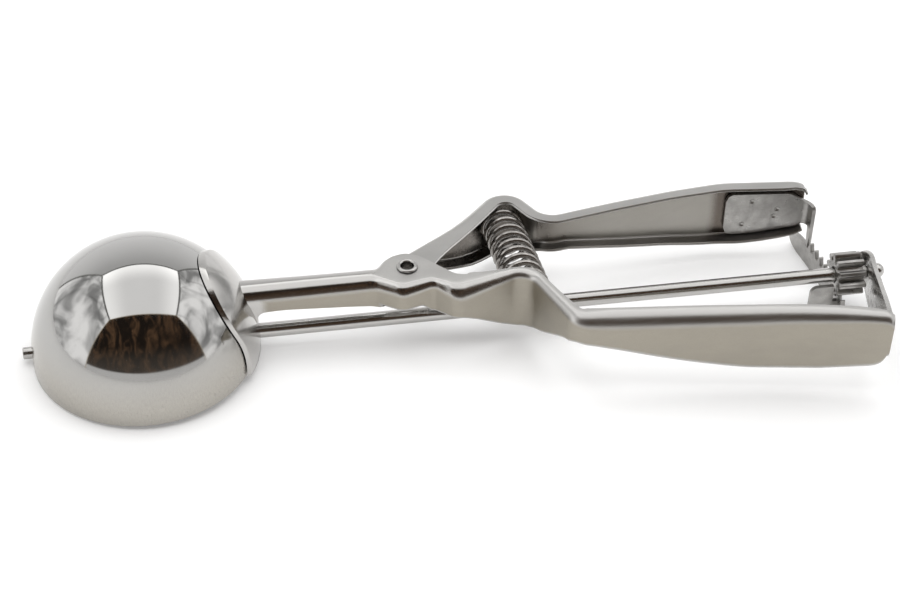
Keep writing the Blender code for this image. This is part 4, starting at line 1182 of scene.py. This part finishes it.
def make_tip_pin():
    shank = TIP_PIN_START - TIP_PIN_HEAD_LENGTH
    profile = [(TIP_PIN_START, 0.0), (TIP_PIN_START, TIP_PIN_HEAD - PIN_CHAMFER),
               (TIP_PIN_START - PIN_CHAMFER, TIP_PIN_HEAD), (shank, TIP_PIN_HEAD),
               (shank, TIP_PIN_RADIUS)]
    profile += arc_points((TIP_PIN_END + PIN_CHAMFER, TIP_PIN_RADIUS - PIN_CHAMFER), PIN_CHAMFER,
                          math.pi / 2.0, math.pi / 2.0, 5)
    profile += [(TIP_PIN_END, 0.0)]
    item = turned("scraper_pin", profile, "X", 48)
    return place(item, "tip_pin", "frame", "scraper_pin",
                 plain_steel("pin_steel", TIP_GLOSS))


def bracket_path():
    """Plan line of the bracket: foot inside the handle, round a corner, bow, eye."""
    corner, bend = Vector(BRACKET_HANDLE), Vector(BRACKET_BEND)
    end, before = Vector(FIXED_RAIL[-1][:2]), Vector(FIXED_RAIL[-2][:2])
    web = (end - before).normalized()
    inside = end + left_of(web) * (sizes().sheet + GAP + PLATE / 2.0)
    meet = crossing(corner, (bend - corner).normalized(), inside, web)
    foot = meet - web * BRACKET_FOOT
    tip = Vector((BRACKET_TIP_X, BRACKET_EYE_RADIUS * BRACKET_TIP))
    return [(foot.x, foot.y, 0.0), (meet.x, meet.y, BRACKET_CORNER),
            (bend.x, bend.y, BRACKET_BOW), (tip.x, tip.y, 0.0)]


def bracket_edge(y, side):
    """Upper or lower edge: a round eye beyond the rod, a widening or narrowing arm before it."""
    if y > 0.0:
        return side * math.sqrt(BRACKET_EYE_RADIUS ** 2 - y ** 2)
    knots = BRACKET_UPPER if side > 0.0 else BRACKET_LOWER
    return curve(knots, -y)


def make_bracket():
    """Plate across the handle end that carries the outer end of the rod."""
    rings = [plate_ring(point, along, bracket_edge(point.y, -1.0), bracket_edge(point.y, 1.0))
             for point, along in rail(bracket_path(), lambda x: BRACKET_STEP)]
    bracket = skin("end_bracket", rings)
    combine(bracket, pin("bearing", JOURNAL_RADIUS + GAP, JOURNAL_START * 0.95,
                         BUTTON_END * 1.05, "X"), "DIFFERENCE")
    soften(bracket, BRACKET_BREAK)
    return place(bracket, "rod_bracket", "frame", "end_bracket",
                 plain_steel("bracket_steel", BRACKET_GLOSS))


# Steels

class Net:
    """Short ways to add and join shader nodes."""

    def __init__(self, tree):
        self.nodes = tree.nodes
        self.links = tree.links

    def feed(self, socket, value):
        if isinstance(value, (int, float)):
            socket.default_value = value
        else:
            self.links.new(value, socket)

    def math(self, kind, first, second=0.0):
        node = self.nodes.new("ShaderNodeMath")
        node.operation = kind
        self.feed(node.inputs[0], first)
        self.feed(node.inputs[1], second)
        return node.outputs[0]

    def times(self, first, second):
        return self.math("MULTIPLY", first, second)

    def plus(self, first, second):
        return self.math("ADD", first, second)

    def less(self, first, second):
        return self.math("SUBTRACT", first, second)

    def over(self, first, second):
        return self.math("DIVIDE", first, second)

    def most(self, first, second):
        return self.math("MAXIMUM", first, second)

    def part(self, vector, axis):
        node = self.nodes.new("ShaderNodeSeparateXYZ")
        self.links.new(vector, node.inputs[0])
        return node.outputs[axis]

    def vector(self, x, y, z=0.0):
        node = self.nodes.new("ShaderNodeCombineXYZ")
        for socket, value in zip(node.inputs, (x, y, z)):
            self.feed(socket, value)
        return node.outputs[0]

    def stretched(self, vector, scale):
        node = self.nodes.new("ShaderNodeMapping")
        node.inputs["Scale"].default_value = scale
        self.links.new(vector, node.inputs["Vector"])
        return node.outputs["Vector"]

    def noise(self, vector, scale, detail=2.0, rough=0.5, twist=0.0):
        node = self.nodes.new("ShaderNodeTexNoise")
        for name, value in (("Scale", scale), ("Detail", detail), ("Roughness", rough),
                            ("Distortion", twist)):
            node.inputs[name].default_value = value
        self.links.new(vector, node.inputs["Vector"])
        return node.outputs["Fac"]

    def span(self, value, low, high, start=0.0, end=1.0):
        """Map value from low..high to start..end, eased and clamped."""
        node = self.nodes.new("ShaderNodeMapRange")
        node.interpolation_type = "SMOOTHSTEP"
        for name, number in zip(("From Min", "From Max", "To Min", "To Max"),
                                (low, high, start, end)):
            node.inputs[name].default_value = number
        self.links.new(value, node.inputs["Value"])
        return node.outputs["Result"]

    def blend(self, share, first, second):
        """Colour between two colours or colour sockets by share."""
        node = self.nodes.new("ShaderNodeMix")
        node.data_type = "RGBA"
        self.feed(node.inputs[0], share)
        for socket, value in zip((node.inputs[6], node.inputs[7]), (first, second)):
            if isinstance(value, tuple):
                socket.default_value = (*value, 1.0)
            else:
                self.links.new(value, socket)
        return node.outputs[2]


class Steel(Net):
    """One metal material with its own colour, gloss and fine relief."""

    def __init__(self, name, colour, roughness):
        self.material = bpy.data.materials.new(name)
        self.material.use_nodes = True
        super().__init__(self.material.node_tree)
        self.metal = self.nodes["Principled BSDF"]
        self.metal.inputs["Base Color"].default_value = (*colour, 1.0)
        self.metal.inputs["Metallic"].default_value = 1.0
        self.metal.inputs["Roughness"].default_value = roughness
        spot = self.nodes.new("ShaderNodeAttribute")
        spot.attribute_name = PLACE_NAME
        self.place = spot.outputs["Vector"]

    def gloss(self, value):
        self.links.new(value, self.metal.inputs["Roughness"])

    def tint(self, value):
        self.links.new(value, self.metal.inputs["Base Color"])

    def relief(self, height, strength, distance):
        node = self.nodes.new("ShaderNodeBump")
        node.inputs["Strength"].default_value = strength
        node.inputs["Distance"].default_value = distance
        self.links.new(height, node.inputs["Height"])
        self.links.new(node.outputs["Normal"], self.metal.inputs["Normal"])


def finish_values():
    return bpy.context.scene.scoop_finish


def shade(colour, share):
    return tuple(c * share for c in colour)


def tinted(colour, shares):
    return tuple(c * share for c, share in zip(colour, shares))


def mirror_steel():
    """Polished sheet, brushed and a little warmer in a band above the rim."""
    colour = tuple(finish_values().mirror)
    base = finish_values().mirror_gloss
    steel = Steel("bowl_steel", colour, base)
    height = steel.part(steel.place, "Z")
    angle = steel.math("ARCTAN2", steel.part(steel.place, "Y"), steel.part(steel.place, "X"))
    lines = steel.noise(steel.vector(angle, steel.times(height, 9.0)), 95.0, 3.0, 0.65)
    near_rim = steel.span(height, 0.0005, 0.0150, 1.0, 0.0)
    smear = steel.noise(steel.place, 55.0, 3.0, 0.55)
    haze = steel.span(smear, 0.35, 0.72, base, base + 0.04)
    brushed = steel.times(near_rim, steel.span(lines, 0.3, 0.7, 0.08, 0.24))
    steel.gloss(steel.plus(haze, brushed))
    clean = steel.blend(steel.span(smear, 0.3, 0.7), colour, shade(colour, 0.94))
    warm = tinted(colour, WARM)
    streaks = steel.blend(steel.span(lines, 0.3, 0.7), warm, shade(warm, 0.90))
    steel.tint(steel.blend(near_rim, clean, streaks))
    fine = steel.times(steel.noise(steel.place, 420.0, 2.0, 0.5), 0.05)
    ribs = steel.times(steel.less(lines, 0.5), near_rim)
    steel.relief(steel.plus(fine, ribs), 0.05, 0.0004)
    return steel.material


def handle_steel(name, front):
    """Tumbled satin walls between polished ridges, glossier on the inside and darkened there with
    painted shade.
    """
    satin, polished = tuple(finish_values().satin), tuple(finish_values().polished)
    gloss = finish_values().satin_gloss
    if not front:
        satin = tinted(satin, INSIDE_TONE)
    steel = Steel(name, satin, gloss)
    normal = steel.nodes.new("ShaderNodeNewGeometry").outputs["Normal"]
    tilt = steel.math("ABSOLUTE", steel.part(normal, "Z"))
    along = steel.part(steel.place, "X")
    ridge = steel.span(tilt, 0.10, 0.50)
    flat = steel.span(tilt, 0.94, 0.995)
    if front:
        ear = steel.times(steel.span(along, *EARS_START), steel.span(along, *EARS_END, 1.0, 0.0))
        flat = steel.times(flat, ear)
    bright = steel.times(ridge, steel.less(1.0, flat))
    bright = steel.most(bright, steel.span(along, *SADDLE_END, 1.0, 0.0))
    cloud = steel.noise(steel.stretched(steel.place, (1.0, 2.2, 2.2)), 70.0, 4.0, 0.6)
    grain = steel.noise(steel.place, 2600.0, 2.0, 0.6)
    marks = steel.noise(steel.stretched(steel.place, (60.0, 900.0, 900.0)), 1.0, 3.0, 0.7)
    left = steel.less(1.0, bright)
    facing = steel.part(normal, "Y")
    # painted shade inside the channels, strongest at the hump; the same mask also makes the inside
    # glossier
    shade_and_gloss = steel.span(along, INSIDE_DARK_X, INSIDE_PALE_X, 0.62, 0.04)
    if front:
        inner = steel.span(facing, 0.25, 0.75)
    else:
        inner = steel.span(facing, -0.75, -0.25, 1.0, 0.0)
        # painted shade on the moving handle's inner wall beside the rack's foot
        shade_and_gloss = steel.most(shade_and_gloss, steel.span(along, FOOT_SHADE_START_X, FOOT_SHADE_END_X, 0.0, 0.85))
    shade_and_gloss = steel.times(shade_and_gloss, inner)
    rough = steel.plus(steel.span(cloud, 0.3, 0.7, gloss - 0.05, gloss + 0.06),
                       steel.span(grain, 0.3, 0.7, -0.04, 0.04))
    rough = steel.less(rough, steel.times(shade_and_gloss, 0.28))
    smooth = steel.plus(steel.span(along, NECK_END_X, RIDGE_DULL_X, 0.16, 0.33),
                        steel.span(marks, 0.35, 0.7, -0.02, 0.03))
    steel.gloss(steel.plus(steel.times(rough, left), steel.times(smooth, bright)))
    patch = steel.span(cloud, 0.28, 0.72)
    walls = steel.blend(patch, shade(satin, 0.93), shade(satin, 1.06))
    tops = steel.blend(patch, shade(polished, 0.90 if front else 0.80),
                       shade(polished, 0.99 if front else 0.88))
    walls = steel.blend(steel.span(tilt, 0.25, 0.85), walls, tops)
    # painted shade: the inner walls darken towards the shade tone
    walls = steel.blend(shade_and_gloss, walls, tinted(satin, PAINTED_SHADE_TONE))
    steel.tint(steel.blend(bright, walls, polished))
    deep = steel.plus(steel.times(grain, 0.7), steel.times(cloud, 0.6))
    steel.relief(steel.times(deep, left), 0.10, 0.0002)
    return steel.material


def plain_steel(name, roughness):
    """Small tumbled fitting: cloudy gloss and short fine marks."""
    colour = tuple(finish_values().polished)
    steel = Steel(name, colour, roughness)
    cloud = steel.noise(steel.place, 380.0, 4.0, 0.6)
    marks = steel.noise(steel.stretched(steel.place, (300.0, 2400.0, 1200.0)), 1.0, 3.0, 0.7)
    steel.gloss(steel.plus(steel.span(cloud, 0.3, 0.7, roughness - 0.04, roughness + 0.06),
                           steel.span(marks, 0.4, 0.75, 0.0, 0.06)))
    steel.tint(steel.blend(steel.span(cloud, 0.35, 0.7), colour, shade(colour, 0.88)))
    steel.relief(steel.plus(marks, cloud), 0.08, 0.0002)
    return steel.material


def wire_steel():
    """Drawn wire: fine lines along the strand and a darker film in patches."""
    colour = tuple(finish_values().wire)
    steel = Steel("spring_wire_steel", colour, 0.2)
    cloud = steel.noise(steel.place, 260.0, 3.0, 0.6)
    draw = steel.noise(steel.stretched(steel.place, (700.0, 2600.0, 700.0)), 1.0, 3.0, 0.7)
    steel.gloss(steel.span(draw, 0.3, 0.7, 0.15, 0.28))
    steel.tint(steel.blend(steel.span(cloud, 0.35, 0.68), colour, shade(colour, 0.72)))
    steel.relief(draw, 0.10, 0.0002)
    return steel.material


def gear_steel(name):
    """Sheared and cut steel: dull faces with cutter lines."""
    colour = tuple(finish_values().gear)
    steel = Steel(name, colour, 0.34)
    cloud = steel.noise(steel.place, 300.0, 4.0, 0.65)
    cut = steel.noise(steel.stretched(steel.place, (180.0, 2200.0, 2200.0)), 1.0, 2.0, 0.6)
    steel.gloss(steel.plus(steel.span(cloud, 0.3, 0.7, 0.27, 0.40),
                           steel.span(cut, 0.3, 0.7, -0.03, 0.05)))
    steel.tint(steel.blend(steel.span(cloud, 0.3, 0.7), colour, shade(colour, 0.80)))
    steel.relief(steel.plus(cut, steel.times(cloud, 0.7)), 0.14, 0.0002)
    return steel.material


def rod_steel():
    """Ground bar: bright, with very fine rings and a few long scuffs."""
    colour = tuple(finish_values().polished)
    steel = Steel("rod_bar_steel", colour, 0.19)
    rings = steel.noise(steel.stretched(steel.place, (5200.0, 60.0, 60.0)), 1.0, 2.0, 0.6)
    scuff = steel.noise(steel.stretched(steel.place, (45.0, 1500.0, 1500.0)), 1.0, 4.0, 0.7)
    steel.gloss(steel.plus(steel.span(scuff, 0.35, 0.75, 0.15, 0.24),
                           steel.span(rings, 0.3, 0.7, 0.0, 0.04)))
    steel.tint(steel.blend(steel.span(scuff, 0.4, 0.8), colour, shade(colour, 0.9)))
    steel.relief(rings, 0.04, 0.0001)
    return steel.material


# Studio

def pale_floor(colour, lift):
    """Pale floor that is white to the eye and in the metal, and keeps the shadow."""
    made = bpy.data.materials.new("studio_floor")
    made.use_nodes = True
    net = Net(made.node_tree)
    paper = net.nodes["Principled BSDF"]
    paper.inputs["Base Color"].default_value = (*colour, 1.0)
    paper.inputs["Roughness"].default_value = 0.9
    paper.inputs["Emission Color"].default_value = (1.0, 1.0, 1.0, 1.0)
    path = net.nodes.new("ShaderNodeLightPath")
    seen = net.most(path.outputs["Is Camera Ray"], path.outputs["Is Glossy Ray"])
    seen = net.most(seen, path.outputs["Is Transmission Ray"])
    net.links.new(net.times(seen, lift), paper.inputs["Emission Strength"])
    return made


def tent_world(look):
    """White to the eye. In the metal it is a light tent with an open front and a dim room beyond."""
    world = bpy.data.worlds.new("light_tent")
    bpy.context.scene.world = world
    world.use_nodes = True
    net = Net(world.node_tree)
    way = net.nodes.new("ShaderNodeTexCoord").outputs["Generated"]
    x, y, z = (net.part(way, axis) for axis in "XYZ")
    across = net.math("ABSOLUTE", x)
    side = net.over(across, TENT_HALF_WIDTH)
    front = net.over(y, -TENT_FRONT)
    back = net.over(y, TENT_BACK)
    roof = net.over(z, TENT_HEIGHT)
    reach = net.most(net.most(side, front), net.most(back, roof))
    hit_side, hit_front, hit_roof = (net.math("COMPARE", share, reach)
                                     for share in (side, front, roof))
    for hit in (hit_side, hit_front, hit_roof):
        hit.node.inputs[2].default_value = TENT_SLACK
    low = net.over(z, net.most(reach, 0.01))
    wall = creased_cloth(net, x, y, z, across, look.walls)
    plain = net.span(low, 0.0, TENT_HEIGHT, look.back * 1.35, look.back * 0.85)
    lid = net.most(roof, 0.001)
    glow = net.plus(net.span(net.over(side, lid), 0.30, 0.95, look.roof, look.roof * 1.35),
                    net.span(net.over(back, lid), 0.35, 1.0, 0.0, 0.75))
    grey = net.blend(hit_side, net.vector(plain, plain, plain), net.vector(wall, wall, wall))
    grey = net.blend(hit_roof, grey, net.vector(glow, glow, glow))
    near = [net.span(net.over(share, net.most(reach, 0.001)), 1.0 - TENT_SEAM,
                     1.0 - TENT_SEAM * 0.5) for share in (side, back, roof)]
    seams = net.plus(net.plus(near[0], near[1]), near[2])
    grey = net.blend(net.span(seams, 1.0, 1.6), grey, SEAM_TONE)
    hem = net.span(net.over(net.most(side, roof), net.most(front, 0.001)), 0.965, 0.985)
    room = dim_room(net, way, low, tuple(look.opening))
    tent = net.blend(hit_front, grey, net.blend(hem, room, HEM_TONE))
    lit = net.nodes["Background"]
    net.links.new(tent, lit.inputs["Color"])
    seen = net.nodes.new("ShaderNodeBackground")
    seen.inputs["Color"].default_value = (1.0, 1.0, 1.0, 1.0)
    mix = net.nodes.new("ShaderNodeMixShader")
    path = net.nodes.new("ShaderNodeLightPath")
    net.links.new(path.outputs["Is Camera Ray"], mix.inputs[0])
    net.links.new(lit.outputs[0], mix.inputs[1])
    net.links.new(seen.outputs[0], mix.inputs[2])
    net.links.new(mix.outputs[0], net.nodes["World Output"].inputs["Surface"])


def creased_cloth(net, x, y, z, across, brightness):
    """Grey of the side walls, which hang in soft folds with a few sharp creases."""
    depth = net.most(across, 0.01)
    cloth = net.vector(net.over(y, depth), net.over(z, depth), x)
    folds = net.noise(cloth, 1.5, 3.0, 0.5, 0.9)
    wall = net.span(folds, 0.32, 0.68, brightness * 0.40, brightness * 1.45)
    crease = net.noise(net.stretched(cloth, (1.6, 0.7, 1.0)), 0.75, 0.0, 0.4, 1.2)
    crease = net.math("ABSOLUTE", net.less(crease, 0.5))
    return net.times(wall, net.span(crease, 0.0, 0.035, 0.72, 1.0))


def dim_room(net, way, low, opening):
    """Colour of the room beyond the open front, over a pale sill."""
    sill = net.span(low, TENT_SILL * 0.9, TENT_SILL * 1.1)
    shapes = net.noise(net.stretched(way, (2.6, 1.0, 1.0)), 3.2, 3.0, 0.6, 0.8)
    room = net.blend(net.span(shapes, 0.40, 0.74), shade(opening, 0.45),
                     tinted(opening, ROOM_WARMTH))
    room = net.blend(net.span(low, TENT_SILL, 0.80, 0.45, 0.0), room, HAZE)
    return net.blend(sill, SILL_TONE, room)


def lamp(name, power, size, place_at, aim):
    data = bpy.data.lights.new(name, "AREA")
    data.shape = "RECTANGLE"
    data.energy = power
    data.size, data.size_y = size
    made = bpy.data.objects.new(name, data)
    bpy.context.scene.collection.objects.link(made)
    made.location = place_at
    made.rotation_euler = (Vector(aim) - Vector(place_at)).to_track_quat("-Z", "Y").to_euler()
    return made


def make_studio():
    look = bpy.context.scene.studio_look
    corners = [(FLOOR_HALF * a, FLOOR_HALF * b, 0.0) for a, b in ((-1, -1), (1, -1), (1, 1), (-1, 1))]
    floor = mesh_object("floor", corners, [(0, 1, 2, 3)])
    floor.data.materials.append(pale_floor(tuple(look.floor), look.lift))
    tent_world(look)
    top = lamp("top_light", look.top_light, LAMP_SIZE, LAMP_PLACE, LAMP_AIM)
    top.visible_glossy = False
    eye = bpy.data.cameras.new("camera")
    eye.lens = LENS
    eye.sensor_width = SENSOR
    eye.clip_start = 0.01
    seer = bpy.data.objects.new("camera", eye)
    bpy.context.scene.collection.objects.link(seer)
    columns = (Vector(CAMERA_RIGHT), -Vector(CAMERA_DOWN), -Vector(CAMERA_FORWARD))
    turn = Matrix(columns).transposed().to_4x4()
    seer.matrix_world = tool_matrix() @ Matrix.Translation(CAMERA_PLACE) @ turn
    bpy.context.scene.camera = seer
    bpy.context.scene.view_settings.view_transform = "Standard"


# Operators

class SCOOP_OT_bowl(bpy.types.Operator):
    """Build the bowl and its end pin"""
    bl_idname = "scoop.bowl"
    bl_label = "Bowl"

    def execute(self, context):
        make_bowl()
        make_tip_pin()
        return {"FINISHED"}


class SCOOP_OT_handles(bpy.types.Operator):
    """Build the fixed handle with its saddle, the moving handle and their rivet"""
    bl_idname = "scoop.handles"
    bl_label = "Handles"

    def execute(self, context):
        make_fixed_handle()
        make_moving_handle()
        make_rivet()
        return {"FINISHED"}


class SCOOP_OT_spring(bpy.types.Operator):
    """Build the return spring between the handles"""
    bl_idname = "scoop.spring"
    bl_label = "Spring"

    def execute(self, context):
        make_spring()
        return {"FINISHED"}


class SCOOP_OT_drive(bpy.types.Operator):
    """Build the rack, the pinion and the rod that they turn"""
    bl_idname = "scoop.drive"
    bl_label = "Rack, pinion and rod"

    def execute(self, context):
        make_rack()
        make_pinion()
        make_rod()
        return {"FINISHED"}


class SCOOP_OT_scraper(bpy.types.Operator):
    """Build the scraper hoop inside the bowl"""
    bl_idname = "scoop.scraper"
    bl_label = "Scraper"

    def execute(self, context):
        make_scraper()
        return {"FINISHED"}


class SCOOP_OT_bracket(bpy.types.Operator):
    """Build the plate that carries the end of the rod"""
    bl_idname = "scoop.bracket"
    bl_label = "End bracket"

    def execute(self, context):
        make_bracket()
        return {"FINISHED"}


class SCOOP_OT_studio(bpy.types.Operator):
    """Lay the floor, hang the lamp and the tent, and place the camera"""
    bl_idname = "scoop.studio"
    bl_label = "Studio"

    def execute(self, context):
        make_studio()
        return {"FINISHED"}


class SCOOP_PT_panel(bpy.types.Panel):
    """Sizes, finishes and build steps"""
    bl_idname = "SCOOP_PT_panel"
    bl_label = "Ice cream scoop"
    bl_space_type = "VIEW_3D"
    bl_region_type = "UI"
    bl_category = "Scoop"

    def draw(self, context):
        for values in (context.scene.scoop_sizes, context.scene.scoop_finish,
                       context.scene.studio_look):
            column = self.layout.column(align=True)
            for name in values.bl_rna.properties.keys():
                if name not in ("rna_type", "name"):
                    column.prop(values, name)
        column = self.layout.column()
        for step in STEPS:
            column.operator(step.bl_idname)


STEPS = (SCOOP_OT_bowl, SCOOP_OT_handles, SCOOP_OT_spring, SCOOP_OT_drive, SCOOP_OT_scraper,
         SCOOP_OT_bracket, SCOOP_OT_studio)
VALUES = (("scoop_sizes", ScoopSizes), ("scoop_finish", ScoopFinish), ("studio_look", StudioLook))


def register():
    for name, group in VALUES:
        bpy.utils.register_class(group)
        setattr(bpy.types.Scene, name, PointerProperty(type=group))
    for step in (*STEPS, SCOOP_PT_panel):
        bpy.utils.register_class(step)


def unregister():
    for step in (SCOOP_PT_panel, *reversed(STEPS)):
        bpy.utils.unregister_class(step)
    for name, group in reversed(VALUES):
        delattr(bpy.types.Scene, name)
        bpy.utils.unregister_class(group)


def main():
    register()
    for item in [o for o in bpy.data.objects if o.name in ("Cube", "Light", "Camera")]:
        bpy.data.objects.remove(item, do_unlink=True)
    bpy.ops.scoop.bowl()
    bpy.ops.scoop.handles()
    bpy.ops.scoop.spring()
    bpy.ops.scoop.drive()
    bpy.ops.scoop.scraper()
    bpy.ops.scoop.bracket()
    bpy.ops.scoop.studio()
    bpy.context.view_layer.update()


if __name__ == "__main__":
    main()
